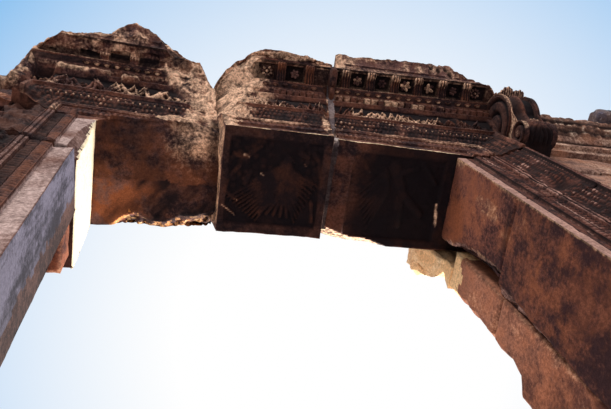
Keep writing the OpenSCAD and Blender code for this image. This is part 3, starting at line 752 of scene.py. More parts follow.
def painted_light_faces(c, n, name):
    """Faces that take the pale broken stone as painted light: the broken rear edge of the left block and the
    small one of the right block, pale as painted sunlight, and a painted highlight along the lower front
    arris of the right block and the keystone.
    """
    z = c[:, 2] - SOFFIT
    lit = crags(c, 0.15, 77, 4) + 0.7 * (c[:, 1] - 1.55)
    if name == "lintel_left_block":
        return (c[:, 1] > 1.46) & (c[:, 1] < 1.92) & (z < 0.5) & (z > 0.02) & (lit > 0.90)
    if name == "lintel_right_block":
        broken = (c[:, 1] > 1.55) & (z < 0.6) & (z > 0.06) & (c[:, 0] < 2.1) & (lit > 0.94)
        return broken | ((z < 0.045) & (n[:, 1] < -0.4) & (c[:, 1] < 0.03) & (c[:, 0] < HALF))
    low = z + KEY_DROP - (DEPTH - c[:, 1] - KEY_FORWARD) * math.sin(KEY_LEAN)
    return (low < 0.045) & (n[:, 1] < -0.4) & (c[:, 1] < 0.0) & (c[:, 0] > -0.9)


def panel(x, y, x0, x1, y0, y1, soft=0.02):
    """1 inside a rectangle, falling to 0 at its edge."""
    return (step(-soft, soft, x - x0) * step(-soft, soft, x1 - x) * step(-soft, soft, y - y0)
            * step(-soft, soft, y1 - y))


def ridges(x, y, strokes, tip=0.8):
    """Height of the highest of several ridges, each given as its two ends and its half-width."""
    h = np.zeros(len(x))
    for a, b, r in strokes:
        h = np.maximum(h, stroke(x, y, a, b, r, tip))
    return h


def fan(x, y, count, roots, tips, r, tip):
    """Height of a fan of ridges, from points between two roots to points between two tips."""
    shares = [k / (count - 1) for k in range(count)]
    return ridges(x, y, [(between(*roots, t), between(*tips, t), r) for t in shares], tip)


def eagle_at(x, y):
    """The spread bird of the keystone's soffit, with foliage round it."""
    h = np.zeros(len(x))
    # Long and short feathers of both wings, then the tail
    for height, count, roots, tips, r, tip in (
            (0.75, 10, ((-0.10, 0.42), (-0.14, 0.92)), ((-0.95, 1.02), (-0.42, 1.42)), 0.042, 0.5),
            (0.70, 10, ((0.09, 0.42), (0.08, 0.90)), ((0.62, 0.66), (0.28, 1.40)), 0.042, 0.5),
            (0.95, 7, ((-0.06, 0.38), (-0.10, 0.80)), ((-0.52, 0.66), (-0.34, 1.02)), 0.055, 0.7),
            (0.90, 7, ((0.08, 0.38), (0.08, 0.78)), ((0.38, 0.56), (0.26, 1.00)), 0.055, 0.7),
            (0.85, 5, ((-0.02, 0.88), (0.06, 0.88)), ((-0.36, 1.26), (0.14, 1.30)), 0.045, 0.8)):
        h = np.maximum(h, height * fan(x, y, count, roots, tips, r, tip))
    # Body, head and beak
    h = np.maximum(h, stroke(x, y, (0.03, 0.34), (-0.02, 0.86), 0.13, 0.8))
    h = np.maximum(h, stroke(x, y, (0.05, 0.36), (0.06, 0.20), 0.085, 0.9))
    h = np.maximum(h, stroke(x, y, (0.06, 0.19), (0.17, 0.26), 0.045, 0.4))
    foliage = (((-1.03, 1.16), (-0.78, 1.34), 0.028), ((-0.62, 0.16), (-0.44, 0.02), 0.05),
               ((-0.80, 0.42), (-0.98, 0.67), 0.05), ((-0.98, 0.67), (-1.00, 0.90), 0.05),
               ((-1.00, 0.90), (-0.84, 1.02), 0.045), ((-0.66, 0.73), (-0.58, 0.49), 0.055),
               ((-0.70, 0.26), (-0.90, 0.20), 0.06), ((0.50, 0.06), (0.62, 0.24), 0.05),
               ((0.62, 0.30), (0.70, 0.60), 0.05), ((0.55, 1.0), (0.60, 1.36), 0.05),
               ((0.25, 0.08), (0.40, 0.14), 0.06))
    h = np.maximum(h, 0.8 * ridges(x, y, foliage))
    knots = (np.clip(1 - cells(x / 0.15, y / 0.15, 5) / 0.42, 0, 1) ** 0.5
             * step(0.15, 0.3, np.abs(x - 0.02)) * (1 - step(0.75, 1.0, y)))
    return np.maximum(h, 0.55 * knots)


def keystone_soffit(p, low, m):
    """Sunken panel with the bird, dark with dirt and painted shade, and chipped in a few places."""
    x, y = p[low, 0], p[low, 1]
    sunk = panel(x, y, -0.98, 0.66, 0.17, 1.70)
    h = eagle_at(x, (y - 0.29) / 0.95)
    p[low, 2] += sunk * (0.045 - 0.055 * h) + 0.008 * fractal(p[low], 0.12, 5, 4)
    chips = ridges(x, (y - 0.29) / 0.95, (
        ((-1.03, 1.16), (-0.80, 1.33), 0.018), ((-0.72, 0.20), (-0.64, 0.23), 0.035),
        ((0.36, 0.29), (0.39, 0.31), 0.02), ((-0.82, 1.04), (-0.78, 1.06), 0.02),
        ((-0.40, 0.53), (-0.36, 0.55), 0.03)), 1.0)
    # The panel and its rim are dark: partly soot, partly painted shade
    dark = sunk * (0.97 - 0.20 * h + 0.10 * fractal(p[low], 0.2, 7, 4))
    m["soot"][low] = np.clip(dark + (1 - sunk) * (0.76 + 0.25 * fractal(p[low], 0.3, 6, 3)), 0, 1)
    m["warm"][low] = 0.5 * h + 0.4
    m["worn"][low] = 0.55 * chips
    m["tone"][low] = -0.45 * sunk - 0.1
    m["soot"][low] *= 1 - 0.9 * chips


def right_soffit(p, low, m):
    """Sunken panel with rays and branching strokes, browner towards the joint."""
    x, y = p[low, 0], p[low, 1]
    sunk = panel(x, y, 1.30, 3.08, 0.17, 1.72)
    h = 0.7 * fan(x, y, 8, ((1.95, 0.45), (2.05, 0.8)), ((1.45, 0.95), (1.75, 1.55)), 0.05, 0.5)
    h = np.maximum(h, ridges(x, y, (
        ((2.1, 0.35), (2.35, 0.85), 0.12), ((2.35, 0.85), (2.75, 1.2), 0.09),
        ((2.3, 0.95), (2.35, 1.45), 0.09), ((2.1, 0.5), (2.55, 0.35), 0.06),
        ((1.5, 0.35), (1.62, 0.5), 0.05), ((2.7, 0.3), (2.95, 0.6), 0.05))))
    p[low, 2] += sunk * (0.045 - 0.05 * h) + 0.008 * fractal(p[low], 0.12, 15, 4)
    brown = 1 - step(0.15, 0.75, x - 1.05 + 0.4 * fractal(p[low], 0.5, 16, 3))
    # Dark all over, partly soot and partly painted shade, browner towards the joint
    m["soot"][low] = np.clip(0.98 - 0.36 * brown - 0.12 * (1 - sunk) - 0.05 * h, 0, 1)
    m["warm"][low] = 0.6
    m["tone"][low] = -0.7 * (1 - brown)
    pale = stroke(x, y, (3.05, 0.98), (3.10, 1.40), 0.03, 1.0)
    m["worn"][low] = 0.7 * pale
    m["soot"][low] *= 1 - 0.8 * pale


def left_soffit(p, low, m):
    """Underside darkened by soot and painted shade, with a sunken field, an ochre patch near the jamb painted
    as a glow of reflected light, and dark slanting streaks.
    """
    x, y = p[low, 0], p[low, 1]
    field = step(-3.02, -2.98, x) * step(1.62, 1.58, y)
    p[low, 2] += 0.02 * field + 0.014 * fractal(p[low], 0.3, 25, 4)
    n = fractal(p[low], 0.5, 26, 4)
    # Painted glow of reflected light: an ochre patch towards the jamb and the rear
    ochre = step(0.75, 1.25, y + 0.3 * n) * step(-2.05, -2.75, x + 0.35 * fractal(p[low], 0.4, 27, 3))
    streaks = fractal(flat(0.8 * x + 0.6 * y, 0.8 * y - 0.6 * x, 4), 0.20, 29, 5, (1, 4, 1))
    p[low, 2] += 0.03 * streaks * (1 - ochre)
    right = step(-2.7, -2.1, x) * step(0.3, 0.9, y)
    # Dark all over, partly soot and partly painted shade, lifted where the painted glow lies
    m["soot"][low] = np.clip(0.68 + 0.12 * right + 0.75 * streaks + 0.2 * n - 0.68 * ochre, 0.03, 0.95)
    m["warm"][low] = 0.6 + 1.1 * ochre
    m["tone"][low] = 0.9 * ochre
    m["worn"][low] = 0.45 * step(0.15, 0.55, -streaks) * (1 - ochre) * step(1.3, 0.5, y)


def right_breaks(p, w, y, m):
    """What the right block has lost: its top, its gutter moulding and a lower rear edge."""
    x, z = p[:, 0], p[:, 2] - SOFFIT
    slip = leant(x, z)
    n = fractal(p, 0.5, 31, 3)
    leaf = (x > 3.40) & (x < 3.95) & (z > 2.62)
    holes = np.clip(1 - cells(x / 0.16, z / 0.16, 33) / 0.5, 0, 1)
    p[leaf, 1] += 0.10 * holes[leaf]
    give(m, leaf, soot=np.maximum(m["soot"], step(0.15, 0.5, holes) * 0.9))
    give(m, leaf, worn=np.maximum(m["worn"], 0.55 * step(0.25, 0.0, holes)))
    top = (line(x, [(1.2, 2.93), (1.32, 2.99), (1.6, 2.95), (2.0, 2.86), (2.3, 2.84), (2.7, 2.9),
                    (3.1, 2.84), (3.38, 2.82), (3.45, 3.0), (3.9, 2.97), (4.1, 2.68), (4.6, 2.64),
                    (4.85, 2.56), (5.4, 2.40)]) + 0.04 * n)
    break_top(p, m, SOFFIT + top, 0.45, 34)
    out = (line(x, [(1.2, -1.24), (1.4, -1.42), (1.7, -1.36), (2.4, -1.40), (3.3, -1.44), (3.42, -1.5),
                    (3.9, -1.5), (4.0, -1.33), (4.3, -1.24), (4.75, -1.12), (4.95, -0.9), (5.1, -0.55),
                    (5.4, -0.35)]) + 0.05 * n - slip)
    hi = p[:, 2] - SOFFIT > 2.3
    limit = np.where(hi, out, -9)
    break_front(p, m, limit, 0.4, 36)
    sima = (w > 2.62) & (y < 0.02)
    give(m, sima, worn=0.38 + 0.45 * fractal(p, 0.16, 37, 4), tone=0.5)
    p[:, 1] += np.where(sima & ~leaf, 0.05 * (crags(p, 0.22, 38, 4) - 0.6), 0)
    corner = step(1.52, 1.40, x + 0.1 * n) * (z > 2.5)
    most(m, worn=0.9 * corner)
    # The lost lower rear edge beside the joint
    rear = (line(x, [(0.9, 1.56), (1.16, 1.66), (1.46, 1.74), (1.76, 1.75), (1.97, 1.80), (2.18, 1.86),
                     (2.32, 1.95)]) + 0.03 * n)
    lift = np.clip(p[:, 1] - rear, 0, 0.4) * 1.7 + 0.05 * (crags(p, 0.15, 39, 4) - 0.5) * (p[:, 1] > rear)
    gone = (p[:, 1] > rear) & (z < lift) & (x < 2.3)
    p[:, 2] = np.where(gone, SOFFIT + lift, p[:, 2])
    give(m, gone, soot=0, worn=0.6)
    # Painted shade where the cornice shades the far end
    most(m, soot=0.45 * step(2.9, 4.4, x) * ((z > 0.78) & (z < 2.43)))
    p[:, 1] += forward(y) * slip * (x < 4.7)


def key_breaks(p, w, y, m):
    """What the keystone has lost, and its slip."""
    x, z = p[:, 0], p[:, 2] - SOFFIT
    n = fractal(p, 0.5, 41, 3)
    fine = fractal(p, 0.16, 43, 4)
    front = (y < 0.02) & (w > 0.03)
    # The left third is broken stone from the frieze up, and the bands fade into it
    edge = (-1.12 - z * LEFT_FLARE + line(z, [(0.0, 0.0), (0.12, 0.06), (0.5, 0.12), (0.8, 0.16),
                                              (1.2, 0.30), (1.6, 0.55), (2.1, 0.72), (2.4, 0.78),
                                              (2.7, 0.7)]))
    left = step(0.10, -0.12, x - edge - 0.16 * n - 0.08 * fine)
    depth = line(z, [(0, -0.02), (0.5, -0.07), (1.2, -0.24), (1.9, -0.45), (2.3, -0.68), (2.45, -0.95),
                     (2.8, -1.15)])
    depth = depth + line(x, [(-1.30, 0.46), (-1.1, 0.30), (-0.9, 0.12), (-0.6, 0.0)]) * step(0.6, 1.6, z)
    reface(p, m, front, left, depth, 0.95, 42)
    # Chips that run on to the right of it
    chips = step(0.25, 0.6, fine + 0.5 * n + 0.9 * step(0.6, 0.0, x - edge)) * step(0.9, 0.0, x - edge)
    most(m, worn=np.where(front, 0.75 * chips, 0))
    give(m, front, deep=m["deep"] * (1 - 0.8 * chips))
    # The right edge has lost its bands beside the joint
    rim = 0.82 + z * RIGHT_FLARE
    right = step(0.0, 0.09, x - rim + line(z, [(0, 0.02), (0.1, 0.14), (0.8, 0.26), (1.3, 0.16), (2.3, 0.12)])
                 + 0.10 * n + 0.05 * fine)
    depth = line(z, [(0, 0.03), (0.8, -0.06), (1.3, -0.20), (1.9, -0.40), (2.4, -0.62)])
    reface(p, m, front, right * step(2.45, 2.3, z), depth, 0.75, 45, 0.08)
    upper = (z > 2.445) & (y < -1.14)
    give(m, upper, worn=np.maximum(m["worn"], 0.65 * step(-0.3, 0.3, n)))
    p[:, 2] += np.where(upper, 0.05 * (crags(p, 0.3, 48, 4) - 0.6), 0)
    lean(p)
    limit = (line(x, [(-1.3, -0.30), (-1.2, -0.50), (-1.02, -0.77), (-0.78, -1.01), (-0.62, -1.11),
                      (-0.44, -1.20), (-0.25, -1.27), (-0.04, -1.31), (0.25, -1.29), (0.5, -1.25),
                      (0.8, -1.20), (1.12, -1.16), (1.3, -1.1)]) + 0.04 * n)
    break_front(p, m, np.where(w > 0.5, limit, -9), 0.9, 47)
    top = (line(x, [(-1.3, 2.0), (-1.1, 2.35), (-0.8, 2.55), (-0.4, 2.66), (0.3, 2.66), (0.7, 2.62),
                    (1.2, 2.55)]) + 0.05 * n)
    break_top(p, m, SOFFIT + top, 0.6, 46)


def left_breaks(p, w, y, m):
    """What the left block has lost, and its slip."""
    x, z = p[:, 0], p[:, 2] - SOFFIT
    slip = settled(x, z)
    n = fractal(p, 0.55, 51, 3)
    fine = fractal(p, 0.16, 50, 4)
    front = (y < 0.02) & (w > 0.03) & (w < 2.949)
    # Rough mass in place of the corona, in front of what is left of the coffers
    mass = front & ((w > 2.4525) | ((w > 2.44) & (y < -0.92)))
    p[:, 1] += np.where(mass, 0.10 * fractal(p, 0.4, 60, 4), 0)
    p[:, 2] += np.where(mass, 0.16 * (crags(p, 0.4, 62, 5) - 0.62) - 0.02, 0)
    give(m, mass, worn=0.34 + 0.5 * n + 0.3 * fine, soot=0.25 * step(0.1, 0.6, -n), deep=0)
    out = (line(x, [(-5.1, -0.02), (-5.0, -0.31), (-4.9, -0.48), (-4.76, -0.73), (-4.63, -0.86),
                    (-4.42, -1.0), (-4.27, -1.12), (-4.0, -1.1), (-3.7, -1.14), (-3.34, -1.16),
                    (-3.23, -1.27), (-3.06, -1.39), (-2.9, -1.43), (-2.68, -1.38), (-2.48, -1.27),
                    (-2.27, -1.12), (-2.12, -1.0), (-1.95, -0.93), (-1.75, -0.85), (-1.54, -0.78),
                    (-1.44, -0.64), (-1.35, -0.48), (-1.2, -0.3)]) + 0.03 * fine - slip)
    over = (z > 1.9) & (y < 0.02)
    break_front(p, m, np.where(over, out, -9), 0.8, 52)
    # Right of the coffers the whole cornice is rough stone
    slope = (line(z, [(0.3, 0.10), (0.9, 0.02), (1.4, -0.14), (1.9, -0.40), (2.3, -0.66), (2.45, -0.92),
                      (3.0, -1.2)]) - slip)
    side = line(z, [(1.3, -1.70), (1.9, -2.0), (2.1, -2.2), (2.3, -2.3), (2.45, -2.33), (3, -2.4)])
    right = step(-0.10, 0.14, x - side + 0.16 * n + 0.10 * fine) * (z > 1.3)
    reface(p, m, front, right, np.maximum(slope, out), 0.95, 49, 0.12)
    # Rough patches over the dentils, buff and orange
    for x0, x1, z0, z1, depth, bare, own in ((-4.25, -3.66, 1.97, 2.14, -0.63, 0.9, 65),
                                             (-3.66, -3.30, 1.90, 2.17, -0.62, 0.35, 67),
                                             (-3.02, -2.72, 1.86, 2.12, -0.60, 0.85, 69)):
        patch = panel(x + 0.05 * fine, z + 0.03 * n, x0, x1, z0, z1, 0.03)
        reface(p, m, front, patch, np.full(len(x), depth), bare, own, 0.05)
    # The far left end is a broken mass, with a dark hollow in front of it
    end = step(0.08, -0.08, x + 4.66 + 0.10 * n + 0.06 * fine) * step(1.30, 1.40, z)
    depth = np.maximum(out, line(z, [(1.3, -0.34), (1.8, -0.50), (2.4, -0.84), (3.0, -1.1)]))
    reface(p, m, front, end, depth, 0.75, 54, 0.12)
    pit = panel(x + 0.06 * fine, z + 0.06 * n, -4.60, -4.30, 1.55, 2.10, 0.06) * front
    p[:, 1] += 0.22 * pit
    most(m, soot=0.92 * pit)
    # The upright part of the frame is lost below its corner
    low = step(0.02, 0.20, -x - HALF - 0.80 + 0.10 * n) * step(0.62, 0.40, z + 0.10 * n)
    reface(p, m, front, low, np.full(len(x), -0.10), 0.30, 66, 0.16)
    # Painted shadow along the steep edge of the loss
    most(m, soot=2.8 * low * (1 - low) * front)
    # The spall at the right lower corner
    edge = line(z, [(0.4, -2.55), (0.73, -2.25), (1.0, -1.92), (1.34, -1.70), (1.9, -1.90), (2.3, -2.2)])
    spall = step(-0.05, 0.12, x - edge - 0.10 * n - 0.08 * fine) * (z < 2.0)
    reface(p, m, front, spall, slope + line(x, [(-2.2, -0.06), (-1.6, 0.0), (-1.1, 0.06)]), 0.85, 56, 0.14)
    top = (line(x, [(-5.1, 2.3), (-4.7, 2.5), (-4.4, 2.62), (-3.8, 2.68), (-3.3, 2.8), (-3.0, 3.02),
                    (-2.7, 3.0), (-2.5, 2.92), (-2.2, 2.76), (-1.9, 2.66), (-1.5, 2.6), (-1.2, 2.45)])
           + 0.05 * n)
    break_top(p, m, SOFFIT + top, 0.6, 58)
    p[:, 1] += forward(y) * slip
    # The lost lower front edge, over the opening
    z = p[:, 2] - SOFFIT
    loss = line(p[:, 1], [(-0.12, 0.63), (0.0, 0.5), (0.3, 0.28), (0.8, 0.10), (1.15, -0.05)])
    loss = np.where(x > -3.0, loss, line(x, [(-3.25, 0.0), (-3.0, 1.0)]) * loss)
    loss = loss * line(x, [(-3.3, 0.9), (-2.2, 0.9), (-1.6, 1.35), (-1.1, 1.0)])
    loss = loss + np.where(loss > 0.02, 0.09 * crags(p, 0.35, 59, 5) - 0.045, 0)
    up = (z < loss) & (x > -3.25) & (x < -1.0) & (y < DEPTH - 0.01)
    p[:, 2] = np.where(up, SOFFIT + loss, p[:, 2])
    give(m, up, deep=0)
    dirt = 0.38 + 0.3 * step(-0.1, 0.4, fractal(p, 0.35, 61, 4))
    give(m, up, soot=dirt - 0.3 * step(-2.0, -1.5, x) * step(1.0, 0.3, p[:, 1]))
    give(m, up, worn=0.45 * step(-2.3, -1.7, x) * step(1.0, 0.2, p[:, 1]) + 0.1, warm=0.9)
    # The broken rear edge
    rear = (line(x, [(-3.24, 1.91), (-2.92, 1.84), (-2.72, 1.66), (-2.5, 1.58), (-2.24, 1.70),
                     (-1.97, 1.72), (-1.71, 1.60), (-1.45, 1.56), (-1.28, 1.48), (-1.16, 1.42)]) + 0.04 * n)
    lift = np.clip(p[:, 1] - rear, 0, 0.6) * 1.3 * (1 + 0.5 * noise(p * 9, 63))
    lift = lift + 0.06 * step(0, 0.05, p[:, 1] - rear) * (crags(p, 0.18, 64, 4) - 0.5)
    z = p[:, 2] - SOFFIT
    gone = (p[:, 1] > rear) & (z < lift) & (x > -3.2) & (x < -1.05)
    p[:, 2] = np.where(gone, SOFFIT + lift, p[:, 2])
    give(m, gone, soot=0.6 * step(0.2, -0.2, fine), worn=0.22)
    # Stained and dirty joint on the right
    dirt = step(-1.42, -1.25, x) * (z < 1.0)
    most(m, soot=0.7 * dirt)


RIGHT_BRACKETS = (1.494, 2.045, 2.581, 3.103, 3.655, 4.215)
KEY_BRACKETS = (0.10, 0.69)
LEFT_BRACKETS = (-3.41, -2.84)
# Coffers: both ends, the far edge and how dark each one is
RIGHT_COFFERS = [(a + 0.115, b - 0.115, -1.125, 0.97)
                 for a, b in zip(RIGHT_BRACKETS, RIGHT_BRACKETS[1:] + (4.80,))] + [(1.28, 1.37, -1.125, 0.97)]
KEY_COFFERS = [(-0.36, -0.03, -1.125, 0.35), (0.215, 0.573, -1.125, 0.95)]
LEFT_COFFERS = [(-3.871, -3.52, -0.93, 0.93), (-3.303, -2.93, -1.0, 0.97), (-2.74, -2.35, -1.02, 0.95),
                (-4.46, -4.33, -0.88, 0.9)]

def key_ends(w, y):
    """Both ends of the keystone between the slanting joints."""
    rise = w * math.cos(KEY_LEAN) - (y - DEPTH) * math.sin(KEY_LEAN)
    return KEY_LEFT - rise * LEFT_FLARE, KEY_RIGHT + rise * RIGHT_FLARE


carved_block("lintel_right_block", "lintel_right",
             lambda w, y: (0.95 + w * RIGHT_FLARE, np.full(len(w), RIGHT_END)), 236, False, RIGHT_COFFERS,
             right_breaks, right_soffit, 1, [(1.0, 0.9), (3.0, 0.75), (3.6, 0.35), (5.4, 0.2)])
carved_block("keystone_block", "lintel_keystone", key_ends, 140, True,
             KEY_COFFERS, key_breaks, keystone_soffit, 2, [(-1.2, 0.4), (1.2, 0.55)])
carved_block("lintel_left_block", "lintel_left", lambda w, y: (np.full(len(w), LEFT_END), -1.112
                                                               - w * LEFT_FLARE), 200, False, LEFT_COFFERS,
             left_breaks, left_soffit, LEFT_SEED, [(-5.1, 0.4), (-3.6, 0.5), (-1.1, 0.75)])


# Dentils, brackets, eggs, pearls and rosettes

def block_box(bm, lo, hi):
    size = [b - a for a, b in zip(lo, hi)]
    mid = [(a + b) / 2 for a, b in zip(lo, hi)]
    place = Matrix.Translation(mid) @ Matrix.Diagonal((*size, 1))
    return bmesh.ops.create_cube(bm, size=1, matrix=place)["verts"]


def dentil_row(name, lefts, width, bare, seed, moved=None):
    """Dentils from their left edges, each worn in its own way."""
    bm = new_bmesh()
    for k, x in enumerate(lefts):
        wear = 0.5 + 0.5 * math.sin(k * 2.3 + seed)
        low = SOFFIT + 2.02 + 0.03 * wear * (k % 4 == 1)
        verts = block_box(bm, (x, -0.65 + 0.02 * wear, low), (x + width, -0.50, SOFFIT + 2.152))
        put(bm, verts, None, {"worn": float(line(x, bare)) * (0.55 + 0.45 * math.sin(k * 1.7 + 1))})
    bmesh.ops.bevel(bm, geom=bm.edges[:], offset=0.012, segments=2, affect="EDGES", profile=0.5, material=-1)
    p = points_of(bm.verts)
    bm.normal_update()
    out = np.array([v.normal[:] for v in bm.verts])
    put(bm, bm.verts[:], p + out * (0.012 * fractal(p, 0.06, seed, 2))[:, None], {"warm": 0.4})
    piece(name, bm, CARVED, smooth=False, moved=moved)


def bracket_row(name, centres, seed, ends_worn=0.75, length=1.0, cut_in=1.0, moved=None):
    """Scrolled brackets under the corona with three flutes below."""
    bm = new_bmesh()
    side = [(-0.77, 2.47), (-0.77, 2.335), (-0.80, 2.322), (-0.84, 2.325), (-0.89, 2.348), (-0.95, 2.372),
            (-1.01, 2.375), (-1.06, 2.362), (-1.10, 2.345), (-1.14, 2.347), (-1.163, 2.37), (-1.168, 2.40),
            (-1.155, 2.43), (-1.15, 2.47), (-0.77, 2.47)]
    loop = resample([((y + 0.77) * length - 0.77, z) for y, z in side], [0.022] * (len(side) - 1))
    out = -side_of(loop)
    n = len(loop)
    for c in centres:
        def place(u, v, c=c):
            k = np.rint(v * (n - 1)).astype(int)
            flute = np.abs(np.sin(3 * np.pi * u)) ** 0.7
            low = loop[k, 1] < 2.45
            sink = np.where(low, 0.022 * cut_in * flute, 0)
            across, up = loop[k, 0] + out[k, 0] * sink, loop[k, 1] + out[k, 1] * sink
            p = np.stack([c + (u - 0.5) * 0.165, across, SOFFIT + up], axis=1)
            p += 0.006 * np.stack([noise(p * 14, seed + j) for j in range(3)], axis=1)
            ends = step(-0.98, -1.10, (loop[k, 0] + 0.77) / length - 0.77)
            ribs = (1 - flute) * low
            bare = ends_worn * (0.12 + 0.88 * ends) * (0.45 + 0.55 * ribs) + 0.12 * ribs
            return p, {"worn": np.clip(bare, 0, 1), "deep": 0.85 * cut_in * flute * low * (1 - 0.35 * ends),
                       "warm": 0.8}
        grid(bm, 18, n - 1, place)
    weld(bm)
    close_up(bm)
    piece(name, bm, CARVED, sharp=60, moved=moved)


def egg_row(name, centres, radius, seed, bare=0.8, moved=None):
    """Eggs of the ovolo, each in its shell."""
    bm = new_bmesh()
    for k, x in enumerate(centres):
        worn = bare * (0.4 + 0.6 * abs(math.sin(k * 1.9 + seed)))
        at = (Matrix.Translation((x, -0.725, SOFFIT + 2.225)) @ Matrix.Rotation(math.radians(-28), 4, "X")
              @ Matrix.Diagonal((radius, radius * 0.85, radius * 1.25, 1)))
        verts = bmesh.ops.create_uvsphere(bm, u_segments=12, v_segments=8, radius=1, matrix=at)["verts"]
        # Each egg is pale only on its lower part: wear that varies from egg to egg, placed as a painted
        # highlight
        low = step(0.0, -0.045, points_of(verts)[:, 2] - SOFFIT - 2.225)
        put(bm, verts, None, {"worn": np.clip(worn * low, 0, 1), "warm": 0.5})
        ring = Matrix.Translation((x, -0.715, SOFFIT + 2.215)) @ Matrix.Rotation(math.radians(62), 4, "X")
        circle = bmesh.ops.create_circle(bm, segments=14, radius=radius * 1.36, matrix=ring)["verts"]
        edges = list({e for v in circle for e in v.link_edges})
        face = bmesh.ops.edgeloop_fill(bm, edges=edges)["faces"]
        rim = bmesh.ops.extrude_face_region(bm, geom=face)["geom"]
        top = [g for g in rim if isinstance(g, bmesh.types.BMVert)]
        bmesh.ops.translate(bm, verts=top, vec=ring.to_3x3() @ Vector((0, 0, 0.03)))
        put(bm, circle + top, None, {"worn": 0.12 * bare, "deep": 0.3, "warm": 0.4})
    bmesh.ops.recalc_face_normals(bm, faces=bm.faces)
    piece(name, bm, CARVED, sharp=60, moved=moved)


def pearl_row(name, points, radius, seed, moved=None):
    bm = new_bmesh()
    for k, at in enumerate(points):
        size = radius * (0.85 + 0.3 * abs(math.sin(k * 2.1 + seed)))
        verts = bmesh.ops.create_uvsphere(bm, u_segments=8, v_segments=6, radius=size,
                                          matrix=Matrix.Translation(at))["verts"]
        put(bm, verts, None, {"worn": 0.9})
    piece(name, bm, CARVED, moved=moved)


def rosette(bm, x, petals, radius, bare, seed, ring=False):
    """A flower hanging in a coffer."""
    y, z = -0.97, SOFFIT + 2.505
    for k in range(petals):
        a = 2 * math.pi * k / petals + seed
        size = radius * (0.30 if ring else 0.48)
        reach = radius * (0.8 if ring else 0.62)
        mid = Matrix.Translation((x + reach * math.cos(a), y + reach * math.sin(a), z - 0.028))
        droop = Matrix.Rotation(math.radians(22), 4, "Y")
        at = mid @ Matrix.Rotation(a, 4, "Z") @ droop @ Matrix.Diagonal((size, size * 0.72, 0.026, 1))
        verts = bmesh.ops.create_uvsphere(bm, u_segments=12, v_segments=8, radius=1, matrix=at)["verts"]
        put(bm, verts, None, {"worn": bare * (0.55 + 0.45 * math.sin(k * 2.7 + seed))})
    at = Matrix.Translation((x, y, z - 0.040)) @ Matrix.Diagonal((radius * 0.27, radius * 0.27, 0.04, 1))
    put(bm, bmesh.ops.create_uvsphere(bm, u_segments=12, v_segments=8, radius=1, matrix=at)["verts"], None,
        {"worn": bare})


dentil_row("right_dentils", [1.293 + 0.1488 * k for k in range(23)], 0.112,
           [(1.3, 0.3), (1.7, 0.6), (2.0, 0.95), (2.9, 1.0), (3.1, 0.6), (3.5, 0.35), (3.9, 0.08)], 1,
           lean_right)
dentil_row("keystone_dentils", [-0.056 + 0.135 * k for k in range(7)], 0.105, [(0, 0.15), (1, 0.1)], 2, lean)
dentil_row("left_dentils", (-3.36, -2.92, -2.77, -2.60), 0.11, [(-4, 0.5), (-2, 0.5)], 3, settle)
bracket_row("right_brackets", RIGHT_BRACKETS, 4, moved=lean_right)
bracket_row("keystone_brackets", KEY_BRACKETS, 5, 0.12, moved=lean)
bracket_row("left_brackets", LEFT_BRACKETS, 6, 0.7, 0.45, 0.3, settle)
egg_row("right_eggs", [1.302 + 0.225 * k for k in range(15)], 0.05, 1, moved=lean_right)
egg_row("keystone_eggs", [-0.22 + 0.2 * k for k in range(6)], 0.046, 2, 0.35, lean)
egg_row("left_eggs", [-3.72 + 0.193 * k for k in range(8)], 0.058, 3, 0.9, settle)
pearl_row("left_pearls", [(-4.157 + 0.13 * k, -0.242, SOFFIT + 1.0) for k in range(18)], 0.017, 1, settle)
pearl_row("right_pearls", [(2.55 + 0.13 * k, -0.242, SOFFIT + 1.0) for k in range(14)], 0.013, 2, lean_right)
# Flowers: place, petals, radius, how bare, turn, and whether the petals form a ring
RIGHT_FLOWERS = ((1.77, 6, 0.095, 0.45, 0.3, False), (2.31, 6, 0.09, 0.12, 0.9, False),
                 (2.84, 6, 0.115, 0.95, 0.1, False), (3.38, 5, 0.105, 0.85, 0.6, False),
                 (3.93, 6, 0.09, 0.25, 0.2, False), (4.45, 9, 0.105, 0.35, 0.5, True))
KEY_FLOWERS = ((-0.19, 9, 0.11, 0.6, 0.4, True), (0.39, 6, 0.09, 0.1, 0.2, False))
for row_name, row_moved, flowers in (("right_rosettes", lean_right, RIGHT_FLOWERS),
                                     ("keystone_rosettes", lean, KEY_FLOWERS)):
    flower_bm = new_bmesh()
    for flower in flowers:
        rosette(flower_bm, *flower)
    piece(row_name, flower_bm, CARVED, moved=row_moved)


# Jambs

